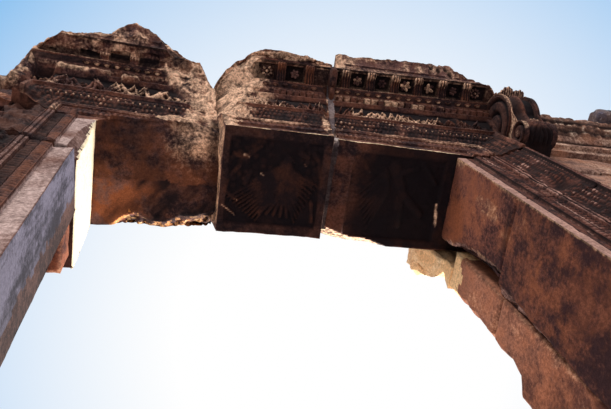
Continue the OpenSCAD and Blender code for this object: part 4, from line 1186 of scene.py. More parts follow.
def jamb(name, node, side, z0, z1, depth, materials, shape_more, seed, back=0.0, spacing=0.021, fine=0.020,
         knobs=0.35):
    """One carved stone of a jamb between two heights. Side is 1 on the right and -1 on the left."""
    front = [q for q in FRAME_FRONT if q[0] >= back]
    front[0] = (back, 0)
    loop, out = section_loop(front, depth, FRAME_W, fine, 0.10, 0.05)
    bm = new_bmesh()

    def shape(s, w, y, nrm):
        h, deep, lit = frame_relief(s, w, seed)
        face = (y < 0.02) & (w > back + 0.001) & (w < 1.349)
        h, deep, lit = (np.where(face, v, 0) for v in (h, deep, lit))
        pale = np.where(face, line(w, PALE_EDGES), 0)
        p = np.stack([side * (HALF + w), y, s], axis=1)
        erode = fractal(p, 0.4, seed + 3, 4)
        keep = 1 - 0.8 * step(0.2, 0.6, erode)
        h = h * keep + 0.008 * fractal(p, 0.2, seed + 5, 3) - 0.02 * step(0.3, 0.7, erode) * face
        # Arrises beside the bed joints are worn away
        near = np.minimum(s - z0, z1 - s)
        h = h - 0.022 * step(0.045, 0.0, near)
        p[:, 0] += side * nrm[:, 0] * h
        p[:, 1] += nrm[:, 1] * h
        # Pale crests: worn, and partly a painted highlight
        bare = lit * knobs * (0.6 + 0.8 * noise(p * 3, seed + 9))
        bare = bare + pale * (0.7 + 0.6 * fractal(p, 0.6, seed + 8, 3))
        m = {"deep": deep * (0.4 + 0.6 * keep), "worn": np.clip(bare, 0, 1), "warm": np.full(len(s), 0.6),
             "soot": 0.5 * step(0.03, 0.0, near), "tone": np.zeros(len(s))}
        shape_more(p, w, y, s, m)
        return p, m

    def ends(w, y):
        return np.full(len(w), z0 + 0.004), np.full(len(w), z1 - 0.004)

    sweep(bm, loop, out, max(12, round((z1 - z0) / spacing)), ends, shape)
    weld(bm)
    close_up(bm)
    plane = side * (HALF + back)
    piece(name, bm, materials, (node,), sharp=50,
          choose=lambda c, n: (np.abs(c[:, 0] - plane) < 0.035) & (c[:, 1] > 0.004) & (np.abs(n[:, 0]) > 0.6))


def right_reveal(p, w, y, s, m):
    """Stained reveal with a pale worn front arris and a broken rear edge."""
    z = s - SOFFIT
    face = w < 0.001
    n = fractal(p, 0.6, 71, 4)
    p[:, 0] = np.where(face, p[:, 0] + 0.010 * n + 0.02 * step(0.35, 0.8, fractal(p, 0.8, 72, 4)), p[:, 0])
    ochre = step(0.0, 0.40, fractal(p, 0.5, 73, 4, (1, 1, 2.2))) * step(-4.2, -0.6, z)
    give(m, face, worn=0.60 * ochre)
    give(m, face, warm=0.45 + 0.75 * ochre + 0.4 * step(-0.1, 0.5, fractal(p, 0.9, 74, 3)))
    dirt = 0.30 * step(-0.2, 0.6, fractal(p, 1.0, 75, 4, (1, 1, 1.6))) + 0.30 * step(-1.7, -2.9, z)
    give(m, face, soot=dirt + 0.35 * step(0.35, 0.0, -z) * step(0.5, 0.1, np.abs(y - 1.6)))
    give(m, face, tone=0.45 * step(-2.5, -0.5, z) + 0.5 * ochre - 0.3 * step(-2.5, -5, z))
    # Dark run of water at the joint, and a hole
    run = np.exp(-((z + 2.42 + 0.05 * n) / 0.11) ** 2) * step(0.12, 0.3, y) * step(1.25, 0.8, y) * face
    most(m, soot=0.72 * run)
    # The pale plain fascia along the arris, and dirtier mouldings beyond it
    fascia = (w < 0.17) & (y < 0.03)
    give(m, fascia, worn=0.85 + 0.3 * n, deep=0)
    quirks = sum(np.exp(-((w - at) / 0.013) ** 2) for at in (0.185, 0.30, 0.335, 0.475, 0.63, 0.70, 0.775,
                                                             1.25))
    edges = sum(np.exp(-((w - at) / 0.011) ** 2) for at in (0.315, 0.49, 0.66, 0.74, 1.262))
    most(m, deep=0.9 * np.minimum(quirks, 1) * (y < 0.03))
    most(m, worn=0.7 * np.minimum(edges, 1) * (y < 0.03) * step(-0.3, 0.2, n))


def right_upper_more(p, w, y, s, m):
    """The lost rear edge of the right jamb's top stone, and holes in its vine."""
    right_reveal(p, w, y, s, m)
    z = s - SOFFIT
    # The lost rear edge
    rear = line(z, [(-2.5, 1.36), (-2.2, 1.33), (-1.7, 1.34), (-1.37, 1.38), (-0.9, 1.48), (-0.5, 1.60),
                    (0.0, 1.70)])
    rear = rear + 0.05 * fractal(p, 0.3, 76, 4)
    reach = line(w, [(0.0, 0.0), (0.68, 0.0), (0.80, 0.6), (1.4, 0.6)])
    over = p[:, 1] - rear - reach
    gone = over > 0
    p[:, 1] = np.where(gone, rear + reach + 0.1 * over - 0.06 * crags(p, 0.2, 77, 4), p[:, 1])
    p[:, 0] = np.where(gone & (w < 0.4), p[:, 0] + 0.05 * crags(p, 0.16, 78, 4), p[:, 0])
    strip = step(0.16, 0.02, np.abs(y - rear)) * (w < 0.2)
    p[:, 0] += strip * 0.10 * crags(p, 0.22, 79, 4) * (w < 0.001)
    give(m, strip > 0.3, worn=0.55)
    give(m, gone, soot=np.where(w > 0.06, 0.9, 0.2))
    # Deep eaten holes in the vine
    hole = np.exp(-((s - (SOFFIT - 2.05)) / 0.22) ** 2 - ((w - 1.0) / 0.16) ** 2) * (y < 0.0)
    p[:, 1] += 0.10 * hole
    most(m, soot=0.8 * step(0.3, 0.8, hole))


def right_lower_more(p, w, y, s, m):
    """The dented rear edge of the right jamb's other stones."""
    right_reveal(p, w, y, s, m)
    z = s - SOFFIT
    rear = line(z, [(-13, 1.60), (-9, 1.55), (-7, 1.60), (-5.2, 1.58), (-4.2, 1.50), (-3.4, 1.44),
                    (-2.5, 1.38)])
    rear = rear + 0.05 * fractal(p, 0.35, 80, 4)
    strip = step(0.02, 0.12, y - rear) * (w < 0.25)
    dent = 0.16 * crags(p, 0.30, 81, 5) * strip
    p[:, 0] += np.where(w < 0.001, dent, 0)
    most(m, worn=0.55 * strip * (w < 0.001))
    m["soot"] = m["soot"] * (1 - strip)


def left_front(p, w, y, m):
    """Pale fascia, brown beads and dark vine of the left jamb."""
    fascia = (w < 0.33) & (y < 0.02)
    n = fractal(p, 0.5, 84, 4)
    p[:, 1] += np.where(fascia, 0.012 * n + 0.03 * step(0.3, 0.9, n), 0)
    give(m, fascia, worn=0.55 + 0.4 * n, tone=0.6)
    give(m, (w > 0.64) & (w < 0.80), worn=0.65 * m["worn"])
    rough = (y < 0.02) * (step(0.46, 0.50, w) * step(0.66, 0.62, w) + step(0.80, 0.84, w))
    most(m, soot=rough * (0.62 + 0.4 * n))
    p[:, 1] += 0.03 * rough * (crags(p, 0.16, 98, 4) - 0.5)
    give(m, (w > 0.33) & (w < 0.46), warm=1.1)


def left_lower_more(p, w, y, s, m):
    """The reveal, grey with painted shade, and the slanting upper bed of the left jamb's lower stones."""
    left_front(p, w, y, m)
    face = w < LEFT_BACK + 0.001
    give(m, face, tone=0.35 * fractal(p, 0.8, 85, 3, (1, 1, 4)), warm=0)
    give(m, face, soot=0.6 * step(0.35, 1.0, y + 0.15 * fractal(p, 0.7, 86, 3)), deep=0)
    give(m, face, worn=0.6 * step(0.6, 0.0, y) * step(-0.1, 0.5, fractal(p, 0.6, 87, 4, (1, 1, 3))))
    slant = (line(w, [(0, -0.02), (0.3, -0.10), (0.6, -0.02), (0.8, -0.08), (1.35, -0.16)])
             * step(0.3, -0.05, y))
    top = s > SOFFIT - 2.12
    p[:, 2] = np.where(top, p[:, 2] + slant * step(SOFFIT - 2.12, SOFFIT - 2.0, s), p[:, 2])


def left_upper_more(p, w, y, s, m):
    """The chipped arris and the lost outer bands of the left jamb's top stone."""
    left_front(p, w, y, m)
    z = s - SOFFIT
    chip = line(z, [(-2.05, 0.20), (-1.4, 0.15), (-0.9, 0.12), (-0.35, 0.03), (-0.15, 0.0), (0, 0.0)])
    chip = chip * (1 + 0.25 * fractal(p, 0.3, 88, 4))
    near = (w < 0.16) & (y < 0.20)
    depth = np.clip(chip - (w + np.maximum(y, 0)), 0, 0.2) * near
    p[:, 0] -= depth * 0.5 + 0.02 * crags(p, 0.12, 89, 3) * (depth > 0)
    p[:, 1] += depth * 0.5
    give(m, depth > 0.01, worn=0.35)
    n = fractal(p, 0.4, 90, 4)
    lost = step(0.78, 0.90, w + 0.06 * n) * (y < 0.02)
    k = crags(p, CRAG, 93, 5)
    p[:, 1] = p[:, 1] * (1 - lost) + (-0.08 - 0.20 * (k - 0.6) - 0.03 * n) * lost
    expose(m, lost, 0.16, k)
    most(m, soot=0.5 * lost)
    lift = line(w, [(0, 0.02), (0.3, 0.10), (0.55, 0.03), (0.8, 0.10), (1.35, 0.05)]) * step(0.3, -0.05, y)
    p[:, 2] += lift * step(SOFFIT - 1.88, SOFFIT - 2.0, s)


RIGHT_STONES, LEFT_STONES = [JAMB_FRONT, REVEAL], [LEFT_FRONT, SHADED_GREY]
COARSE = {"spacing": 0.055, "fine": 0.03}
jamb("right_jamb_top_stone", "right_jamb_upper", 1, RIGHT_BED, SOFFIT, RIGHT_LEAF, RIGHT_STONES,
     right_upper_more, 11, knobs=1.1)
jamb("right_jamb_middle_stone", "right_jamb_middle", 1, JAMB_BED, RIGHT_BED, RIGHT_LEAF, RIGHT_STONES,
     right_lower_more, 12, knobs=1.1)
jamb("right_jamb_lower_stone", "right_jamb_lower", 1, JAMB_FOOT, JAMB_BED, RIGHT_LEAF, RIGHT_STONES,
     right_lower_more, 13, **COARSE)
# The top stone's reveal takes the cream stone, a painted sunlight
jamb("left_jamb_top_stone", "left_jamb_upper", -1, LEFT_BED, SOFFIT, DEPTH, [LEFT_FRONT, SUNLIT_CREAM],
     left_upper_more, 14)
jamb("left_jamb_middle_stone", "left_jamb_middle", -1, JAMB_BED, LEFT_BED, LEFT_LEAF, LEFT_STONES,
     left_lower_more, 15, LEFT_BACK)
jamb("left_jamb_lower_stone", "left_jamb_lower", -1, JAMB_FOOT, JAMB_BED, LEFT_LEAF, LEFT_STONES,
     left_lower_more, 16, LEFT_BACK, **COARSE)


# Stones that keep the shape of their solid, with worn arrises, rough faces and open joints

def weathered(node, material, spacing=0.14, amount=0.02, size=0.5, chip=0.06, seed=0, joints=None,
              more=None, broken=0.0, choose=None):
    """A weathered copy of a solid. Joints are places along each axis where courses and blocks meet."""
    bm = bmesh.new()
    bm.from_mesh(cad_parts[node].data)
    for m in MASKS:
        bm.verts.layers.float.new(m)
    weld(bm, 0.0005)
    bmesh.ops.dissolve_limit(bm, angle_limit=math.radians(0.6), verts=bm.verts, edges=bm.edges)
    p = points_of(bm.verts)
    lo, hi = p.min(axis=0), p.max(axis=0)
    joints = joints or {}
    for axis in range(3):
        steps = max(1, round((hi[axis] - lo[axis]) / spacing))
        places = [lo[axis] + (hi[axis] - lo[axis]) * k / steps for k in range(1, steps)]
        for j in joints.get("xyz"[axis], ()):
            if lo[axis] + 0.05 < j < hi[axis] - 0.05:
                places = [q for q in places if abs(q - j) > 0.05] + [j - 0.03, j, j + 0.03]
        for q in places:
            cut(bm, axis, q)
    bmesh.ops.triangulate(bm, faces=[f for f in bm.faces if len(f.verts) > 4])
    bm.normal_update()
    verts = bm.verts[:]
    p = points_of(verts)
    out = np.array([v.normal[:] for v in verts])
    m = {k: np.zeros(len(verts)) for k in MASKS}
    m["warm"] += 0.6
    # Worn arrises
    gaps = np.minimum(p - lo, hi - p)
    order = np.sort(gaps, axis=1)
    near = np.clip(1 - (order[:, 0] + order[:, 1]) / (chip * 1.6), 0, 1) * (order[:, 0] < 0.004)
    inward = np.where(gaps < chip * 1.6, np.sign((lo + hi) / 2 - p), 0)
    size_in = np.maximum(np.linalg.norm(inward, axis=1), 1)
    bite = chip * near * (0.45 + 0.9 * crags(p, 0.35, seed + 1, 3) - 0.35)
    q = p + inward / size_in[:, None] * bite[:, None]
    q += (out * (amount * (fractal(p, size, seed + 2, 4) + 0.5 * (crags(p, size * 0.5, seed + 3, 4) - 0.55))
                 - 0.25 * amount)[:, None])
    if broken:
        most(m, worn=broken * step(-0.1, 0.5, fractal(p, size * 1.6, seed + 4, 4)))
    most(m, worn=0.4 * near)
    for axis, name in enumerate("xyz"):
        for j in joints.get(name, ()):
            on = (np.abs(p[:, axis] - j) < 0.004) & (np.abs(out[:, axis]) < 0.6)
            q[on] -= out[on] * 0.035
            m["deep"][on] = 0.9
    if more:
        more(p, q, out, m)
    put(bm, verts, q, m)
    bmesh.ops.recalc_face_normals(bm, faces=bm.faces)
    piece(node + "_stone", bm, material, (node,), sharp=38, choose=choose)


def bed(seed, count=3, first=0.9, pitch=1.35, start=RIM_X):
    """Places of the upright joints in a course, shifted from course to course."""
    return [start + first * (0.5 + 0.5 * abs(math.sin(seed * 1.7))) + pitch * k for k in range(count)]


def right_wall_more(p, q, out, m):
    """Lighter and darker stones."""
    m["tone"] += 0.25 * fractal(p, 1.2, 91, 3)


def left_wall_more(p, q, out, m):
    """Rough masonry beside the frame, with a hole in it."""
    z = p[:, 2] - SOFFIT
    front = out[:, 1] < -0.5
    hole = np.exp(-((p[:, 0] + 5.0) / 0.22) ** 2 - ((z + 0.35) / 0.4) ** 2) * front
    q[:, 1] += 0.2 * hole
    most(m, soot=0.9 * step(0.3, 0.8, hole), worn=0.55 * front * step(-2.0, -0.2, z))


for k in range(1, 6):
    z_mid = COURSE * (k - 0.5)
    joints = {"x": bed(k), "z": [z_mid], "y": [0.8 + 0.3 * (k % 2)]}
    weathered(f"right_wall_course_{k}", WALL, 0.2, 0.03, 0.7, 0.06, 100 + k, joints,
              right_wall_more, 0.35)
    joints = {"x": [-j for j in bed(k + 7, 2)], "z": [z_mid], "y": [1.1]}
    spacing, amount = (0.17, 0.05) if k == 5 else (0.2, 0.035)
    weathered(f"left_wall_course_{k}", WALL, spacing, amount, 0.6, 0.08, 120 + k, joints,
              left_wall_more, 0.5)
weathered("right_wall_upper", WALL, 0.12, 0.02, 0.6, 0.05, 140, {"x": [6.3, 7.5]}, None, 0.45)


def band_more(p, q, out, m):
    """Broken mouldings under a rubble top."""
    z = p[:, 2] - SOFFIT
    groove = (p[:, 1] < 0.0) & (out[:, 1] < 0.3)
    wave = 0.05 * fractal(p, 0.9, 92, 3)
    # Painted shade: the grooves between the mouldings are darkened
    for at in (1.35, 1.62, 1.86, 2.06, 2.22):
        dip = np.exp(-((z - at - wave) / 0.035) ** 2) * groove
        q[:, 1] += 0.05 * dip
        most(m, deep=0.8 * dip)
    give(m, groove & (z < 2.3), worn=0.34 + 0.5 * fractal(p, 0.4, 93, 3))
    top = z > 1.98 + 0.6 * wave
    pebble = np.clip(1 - cells(p[:, 0] / 0.15, z / 0.11, 94) / 0.55, 0, 1) ** 0.6
    q[:, 1] -= np.where(top & groove, 0.05 * pebble, 0)
    q[:, 2] += np.where(top & (out[:, 2] > 0.3), 0.05 * crags(p, 0.25, 94, 4), 0)
    give(m, top, worn=0.8 * step(0.45, 0.75, pebble) * step(-0.3, 0.3, fractal(p, 0.2, 95, 2)))
    give(m, top, soot=0.72 * step(0.75, 0.35, pebble))


weathered("right_wall_band", WALL, 0.06, 0.03, 0.4, 0.05, 141, None, band_more, 0.4)


def end_stone_more(p, q, out, m):
    """The near part of the end stone has weathered down to a low dome."""
    x = p[:, 0]
    dome = step(7.99, 7.90, x)
    rise = np.clip((p[:, 2] - 15.8) / 0.7, 0, 1)
    q[:, 2] -= dome * rise * (0.18 + 0.9 * (x - 7.76) ** 2)
    m["warm"] += 0.5 * dome


# The end stone takes the blue-grey painted shade
weathered("right_end_stone", SHADED_GREY, 0.07, 0.04, 0.5, 0.08, 142, None, end_stone_more, 0.3)


def rubble_more(p, q, out, m):
    """Rough masonry whose facing is lost."""
    z = p[:, 2] - SOFFIT
    front = out[:, 1] < -0.3
    k = crags(p, 0.45, 95, 5)
    q[:, 1] -= np.where(front, 0.20 * (k - 0.6), 0)
    q[:, 2] += np.where(out[:, 2] > 0.5, 0.25 * (k - 0.8), 0)
    most(m, worn=np.where(front, 0.75, 0.45) * step(0.35, 0.75, k), soot=0.6 * step(0.5, 0.3, k))


weathered("left_wall_upper", WALL, 0.085, 0.04, 0.4, 0.14, 143, None, rubble_more, 0.6)
weathered("left_rear_block", REVEAL, 0.1, 0.03, 0.5, 0.07, 144, None, None, 0.3)
weathered("left_console_stump", CARVED, 0.07, 0.06, 0.3, 0.06, 145, None, None, 0.8)
weathered("threshold", FLOOR_STONE, 0.2, 0.015, 0.8, 0.05, 146, {"x": [-1.9, 0.3, 2.2]}, None,
          0.4)
# The left plinth takes the blue-grey painted shade
for side, material, slot in (("right", REVEAL, "jamb_stone"), ("left", SHADED_GREY, "grey_stone")):
    weathered(side + "_jamb_plinth", material, 0.12, 0.018, 0.6, 0.06, 147, None, None, 0.35)


def pier_more(p, q, out, m):
    """The rear corner beside the opening is broken away, more so lower down."""
    z = p[:, 2] - SOFFIT
    loss = line(z, [(-14, 0.06), (-6, 0.06), (-4.4, 0.0), (-3.6, 0.0), (-3.37, 0.09), (-3.0, 0.01),
                    (-2.6, 0.07), (-1.5, 0.11), (-0.7, 0.05)])
    x0, y1 = HALF + LEFT_BACK, WALL_T + 0.06
    boss = p[:, 1] > y1 + 0.01
    loss = loss + 0.10 * (crags(p, 0.4, 96, 4) - 0.5)
    corner = ~boss * np.clip(loss - ((p[:, 0] - x0) + (y1 - p[:, 1])), 0, 0.5)
    q[:, 0] += 0.5 * corner
    q[:, 1] -= 0.5 * corner
    rough = step(0.0, 0.08, corner)
    q[:, 0] += 0.06 * rough * (crags(p, 0.22, 97, 4) - 0.5)
    most(m, worn=0.45 * rough)
    seam = np.exp(-((p[:, 1] - RIGHT_LEAF) / 0.05) ** 2) * (np.abs(p[:, 0] - x0) < 0.02)
    most(m, soot=0.5 * seam)
    m["tone"] += 0.3 * step(-4.5, -1.5, z) - 0.2 * step(-3.0, -6.0, z)


# Faces in the top metre of the pilaster take the golden stone, a painted sunlight
for k, part in enumerate(("base", "lower", "middle", "upper")):
    weathered("right_pilaster_" + part, [PIER, SUNLIT_GOLD],
              0.10, 0.02, 0.45, 0.05, 150 + k, None, pier_more, 0.35, choose=lambda c, n: c[:, 2] - SOFFIT
              + 0.3 * fractal(c, 0.3, 160, 3) > -1.0)
weathered("left_pilaster_base", PIER, 0.12, 0.02, 0.5, 0.06, 156, None, None, 0.3)
weathered("left_pilaster_stump", PIER, 0.10, 0.05, 0.4, 0.08, 157, None, None, 0.5)


def capital_more(p, q, out, m):
    """Remains of leaves on the bell and a fillet on the abacus, with painted shadow under the lintel and a
    lighter tone that is part of the painted sunlight.
    """
    z = p[:, 2] - SOFFIT
    bell = (z > -0.65) & (z < 0.50)
    side = np.where(np.abs(out[:, 0]) > np.abs(out[:, 1]), p[:, 1], p[:, 0])
    fold = np.abs(np.sin(side * math.pi / 0.30))
    rise = step(-0.65, -0.2, z) * step(0.52, 0.2, z)
    q += out * (0.045 * bell * (fold ** 2 - 0.5) * rise)[:, None]
    most(m, deep=0.45 * bell * step(0.35, 0.0, fold) * rise)
    waist = np.exp(-((z + 0.38) / 0.17) ** 2)
    q[:, 1] -= 0.17 * waist * (p[:, 1] > 2.1)
    # Painted shadow on the front of the capital, under the lintel
    most(m, soot=0.75 * step(2.02, 1.90, p[:, 1] + 0.10 * fractal(p, 0.3, 99, 3)) * step(0.25, 0.0, z))
    # The hollow between the horns of the abacus, and the lost tip of the outer one
    q[:, 1] -= 0.16 * np.exp(-((p[:, 0] - 3.52) / 0.20) ** 2) * step(0.1, 0.5, z) * (p[:, 1] > 2.2)
    q[:, 1] -= 0.14 * step(3.2, 3.05, p[:, 0]) * (p[:, 1] > 2.4)
    fillet = np.exp(-((z - 0.68) / 0.03) ** 2)
    q -= out * (0.03 * fillet * (np.abs(out[:, 2]) < 0.5))[:, None]
    # Painted shadow on its side faces towards the opening
    shade = 0.6 * step(1.98, 1.90, p[:, 1]) * (out[:, 0] < -0.3)
    stain = 0.35 * (out[:, 2] < -0.6) * step(0.1, 0.5, fractal(p, 0.4, 98, 3))
    most(m, soot=shade + stain, worn=0.4 * step(-0.3, 0.4, fractal(p, 0.4, 99, 3)))
    # Lighter all over: part of the painted sunlight of the golden stone
    m["tone"] += 0.5


weathered("right_pilaster_capital", SUNLIT_GOLD, 0.06, 0.03, 0.3, 0.07, 158, None, capital_more, 0.4)


# Filling of the slanting joint, following the broken front down to the soffit

def key_right_at(z):
    """Where the keystone's right face stands at a height above the soffit."""
    return KEY_RIGHT + (z + KEY_DROP) * RIGHT_FLARE


def joint_filling():
    path = resample([(0.0, 1.63), (-0.02, 0.02), (0.30, 0.01), (0.64, -0.03), (0.95, -0.12), (1.35, -0.24),
                     (1.9, -0.38), (2.1, -0.50), (2.4, -0.72), (2.52, -0.55), (2.62, 0.2), (2.62, 1.63),
                     (0.0, 1.63)], [0.05] * 12)
    bm = new_bmesh()
    n = len(path)

    def place(u, v):
        k = np.rint(v * (n - 1)).astype(int)
        w, y = path[k, 0], path[k, 1]
        x = key_right_at(w) - 0.03 + u * 0.165
        p = np.stack([x, y, SOFFIT + w], axis=1)
        foot = np.exp(-((w - 0.10) / 0.16) ** 2) * (y < 0.1)
        head = step(1.9, 2.1, w) * (y < 0.1)
        p[:, 1] += np.where(y < 1.5, 0.04 * fractal(p, 0.25, 201, 4) - 0.05 - 0.06 * foot - 0.07 * head, 0)
        p[:, 2] += 0.01 * fractal(p, 0.2, 202, 3) + 0.02
        grey = step(-0.5, 0.3, fractal(p, 0.5, 203, 3))
        dark = np.maximum(0.75 * ((y > 0.1) & (w < 0.5)), 0.72 * head)
        return p, {"worn": 0.2 * grey * (w > 0.3) + 0.8 * foot, "soot": dark, "warm": 0.6 * (1 - grey),
                   "tone": 0.3 * grey - 0.25}

    grid(bm, 6, n - 1, place)
    weld(bm)
    close_up(bm)
    piece("slanting_joint_filling", bm, MORTAR, ("joint_mortar",), sharp=50)


joint_filling()
wedge_bm = new_bmesh()
rocks(wedge_bm, [((1.18, -0.90, SOFFIT + 2.30), (0.085, 0.27, 0.25)),
                 ((1.16, -0.62, SOFFIT + 2.12), (0.07, 0.16, 0.16))], 251)
put(wedge_bm, wedge_bm.verts[:], None, {"worn": 0.0, "soot": 0.35, "warm": 0.8})
piece("joint_wedged_stones", wedge_bm, CARVED)


# The console

# Middles and radii of the two scrolls, and the volutes' places on both sides
UP_MID, UP_RADIUS = (-0.42, 1.74), 0.66
LOW_MID, LOW_RADIUS = (-0.47, 0.63), 0.25
NEAR_SIDE, FAR_SIDE = CONSOLE_X - 0.055, CONSOLE_X + 0.655


def arc(mid, r, start, stop, n):
    """Points round a middle, between two angles in degrees."""
    turns = [math.radians(start + (stop - start) * k / n) for k in range(n + 1)]
    return [(mid[0] + r * math.cos(a), mid[1] + r * math.sin(a)) for a in turns]


def console():
    """S-shaped console: channelled front and leaf over the lower scroll; the wound volutes on both sides are
    made by volute().
    """
    outline = ([(0.0, 2.455), (-0.42, 2.455)] + arc(UP_MID, UP_RADIUS, 90, 232, 44)[1:]
               + arc(LOW_MID, LOW_RADIUS, 140, 268, 24) + [(0.0, 0.38), (0.0, 2.455)])
    loop = resample(outline, [0.035] * (len(outline) - 1))
    out = -side_of(loop)
    if np.sum(out[:, 0] * (loop[:, 0] + 0.3)) < 0:
        out = -out
    n = len(loop)
    bm = new_bmesh()

    def place(u, v):
        k = np.rint(v * (n - 1)).astype(int)
        y, z = loop[k, 0], loop[k, 1]
        front = step(-0.30, -0.42, y)
        low = step(1.02, 0.86, z)
        rim = step(0.07, 0.03, u) + step(0.93, 0.97, u)
        mid = np.exp(-((u - 0.5) / 0.10) ** 2)
        groove = 1 - np.clip(rim + mid, 0, 1)
        p = np.stack([CONSOLE_X + 0.6 * u, y, SOFFIT + z], axis=1)
        high = front * (1 - low)
        h = -0.075 * groove * high
        # The leaf folded round the lower scroll
        spine = np.exp(-((u - 0.42) / 0.05) ** 2)
        lobes = np.abs(np.sin((z + np.abs(u - 0.42) * 0.8) * math.pi / 0.13))
        leaf = step(0.10, 0.20, u) * step(0.98, 0.86, u)
        h = h + low * front * (leaf * (0.030 * lobes + 0.03) + 0.05 * spine - 0.02)
        h = h + 0.012 * fractal(p, 0.15, 211, 4)
        p[:, 1] += out[k, 0] * h
        p[:, 2] += out[k, 1] * h
        under = low * step(0.52, 0.40, z)
        near_rim = step(0.07, 0.03, u)
        worn = (0.40 * near_rim + 0.12 * rim) * high + 0.15 * mid * high
        worn = worn + 0.6 * low * front * (0.5 * spine + 0.5 * (lobes > 0.75) * leaf) * step(0.45, 0.6, z)
        worn = worn + 0.55 * low * step(0.13, 0.03, u)
        deep = 0.85 * groove * high * step(0.10, 0.30, np.abs(u - 0.28) + 0.12)
        deep = deep + 0.6 * low * front * (lobes < 0.3) * leaf
        soot = 0.9 * under + 0.6 * groove * high + 0.3 * (1 - near_rim)
        return p, {"worn": np.clip(worn, 0, 1), "deep": np.clip(deep, 0, 1), "soot": np.clip(soot, 0, 0.95),
                   "warm": 0.6}

    grid(bm, 40, n - 1, place)
    weld(bm)
    close_up(bm)
    piece("console_body", bm, CARVED, ("right_console",), sharp=50)


def volute(name, mid, radius, x, side, turns, seed, eye=0.16, pale=0.4):
    """A wound spiral cut into the side of the console."""
    bm = new_bmesh()

    def place(u, v):
        a, r = 2 * np.pi * u, v
        wind = (turns * (1 - r) + side * a / (2 * np.pi)) % 1
        ridge = step(0.0, 0.16, wind) * step(1.0, 0.62, wind)
        core = step(eye + 0.05, eye - 0.02, r)
        edge = step(0.93, 0.99, r)
        h = 0.055 * np.maximum(np.maximum(ridge * step(1.0, 0.9, r), core), edge) - 0.045
        h = np.where(r > 0.995, 0.0, h)
        across, up = mid[0] + radius * r * np.cos(a), SOFFIT + mid[1] + radius * r * np.sin(a)
        p = np.stack([x - h * side, across, up], axis=1)
        p += 0.006 * np.stack([noise(p * 12, seed + j) for j in range(3)], axis=1) * (r < 0.99)[:, None]
        # Painted highlight: the rim is pale only on its upper front side
        lit = edge * step(-0.2, 0.5, np.cos(a - 2.6)) + 0.15 * ridge * step(0.5, 0.9, wind)
        bare = pale * (lit + 0.3 * core)
        return p, {"worn": bare, "deep": 1 - np.maximum(np.maximum(ridge, core), edge),
                   "soot": 0.55 * (1 - bare), "warm": 0.3}

    grid(bm, 72, 34, place)
    weld(bm, 0.0006)
    bmesh.ops.recalc_face_normals(bm, faces=bm.faces)
    rim = [e for e in bm.edges if e.is_boundary]
    back = bmesh.ops.extrude_edge_only(bm, edges=rim)["geom"]
    moved = [g for g in back if isinstance(g, bmesh.types.BMVert)]
    bmesh.ops.translate(bm, verts=moved, vec=(side * 0.10, 0, 0))
    close_up(bm)
    piece(name, bm, CARVED, sharp=50)


console()
volute("console_upper_volute", UP_MID, 0.655, NEAR_SIDE, 1, 2.3, 221)
volute("console_lower_volute", LOW_MID, 0.262, NEAR_SIDE, 1, 1.6, 222, 0.3, 0.75)
volute("console_upper_volute_far", UP_MID, 0.655, FAR_SIDE, -1, 2.3, 223, pale=0.1)
volute("console_lower_volute_far", LOW_MID, 0.262, FAR_SIDE, -1, 1.6, 224, 0.3, 0.1)


def console_leaf():
    """The lobes of a worn leaf lying on the head of the console."""
    bm = new_bmesh()
    for k in range(11):
        a = (k - 5) / 5
        high = 1 - a * a + 0.35 * math.sin(5 * k)
        mid = (CONSOLE_X + 0.40 + 0.34 * a, -0.88 - 0.12 * high, SOFFIT + 2.19 + 0.03 * high)
        rocks(bm, [(mid, (0.05, 0.20, 0.075))], 231 + k)
    p = points_of(bm.verts)
    ribs = np.abs(np.sin(p[:, 0] * math.pi / 0.052))
    put(bm, bm.verts[:], None, {"worn": 0.55 * ribs * step(-0.8, -1.05, p[:, 1]), "soot": 0.35 * (1 - ribs),
                                "warm": 0.6})
    piece("console_head_leaf", bm, CARVED)


console_leaf()


# Loose stones on the right wall

def rubble(name, x0, x1, y0, y1, z0, count, seed, material, small=0.06, large=0.16):
    bm = new_bmesh()
    stones = []
    for k in range(count):
        a, b, c = (0.5 + 0.5 * float(lattice(np.array([[k, seed, j]]), seed)[0]) for j in (1, 2, 3))
        r = small + (large - small) * c ** 2
        stones.append(((x0 + (x1 - x0) * a, y0 + (y1 - y0) * b, z0 + 0.35 * r), (r * 1.25, r, r * 0.7)))
    for k, (mid, half) in enumerate(stones):
        verts = bmesh.ops.create_icosphere(bm, subdivisions=2, radius=1)["verts"]
        p = points_of(verts)
        out = np.sign(p) * np.abs(p) ** 0.75 * np.array(half) + np.array(mid)
        out += p * (0.25 * half[2] * fractal(out, 0.12, seed + k, 2))[:, None]
        put(bm, verts, out, {"worn": 0.5 * (k % 3 == 0), "soot": 0.3 * (k % 3 == 1), "warm": 0.4})
    piece(name, bm, material, smooth=False)


rubble("right_wall_rubble", 5.5, 8.0, -0.50, 2.1, SOFFIT + 2.47, 170, 5, WALL)
rubble("right_wall_rubble_front", 5.45, 7.9, -0.60, -0.30, SOFFIT + 2.45, 46, 9, WALL, 0.05,
       0.12)
boulder_bm = new_bmesh()
rocks(boulder_bm, [((7.30, -0.36, SOFFIT + 2.60), (0.38, 0.30, 0.26)),
                   ((6.55, -0.40, SOFFIT + 2.52), (0.22, 0.16, 0.12)),
                   ((6.0, -0.42, SOFFIT + 2.52), (0.20, 0.16, 0.10))], 241)
piece("right_wall_boulders", boulder_bm, WALL)


# Camera, light and ground

# The camera of the photograph, solved from the corners of the opening
# The picture's width and the focal length are in pixels, and the sensor's width in millimetres
PHOTO_W, FOCAL, SENSOR = 611, 682.26, 36
CAMERA_AT = (-1.9633, -2.4317, 1.542)
ELEVATION, AZIMUTH, ROLL = 69.5756, 34.5815, 27.9597
# Direction of the whitest sky, in the middle of the opening
SKY_MID = (0.2582, 0.4465, 0.8567)


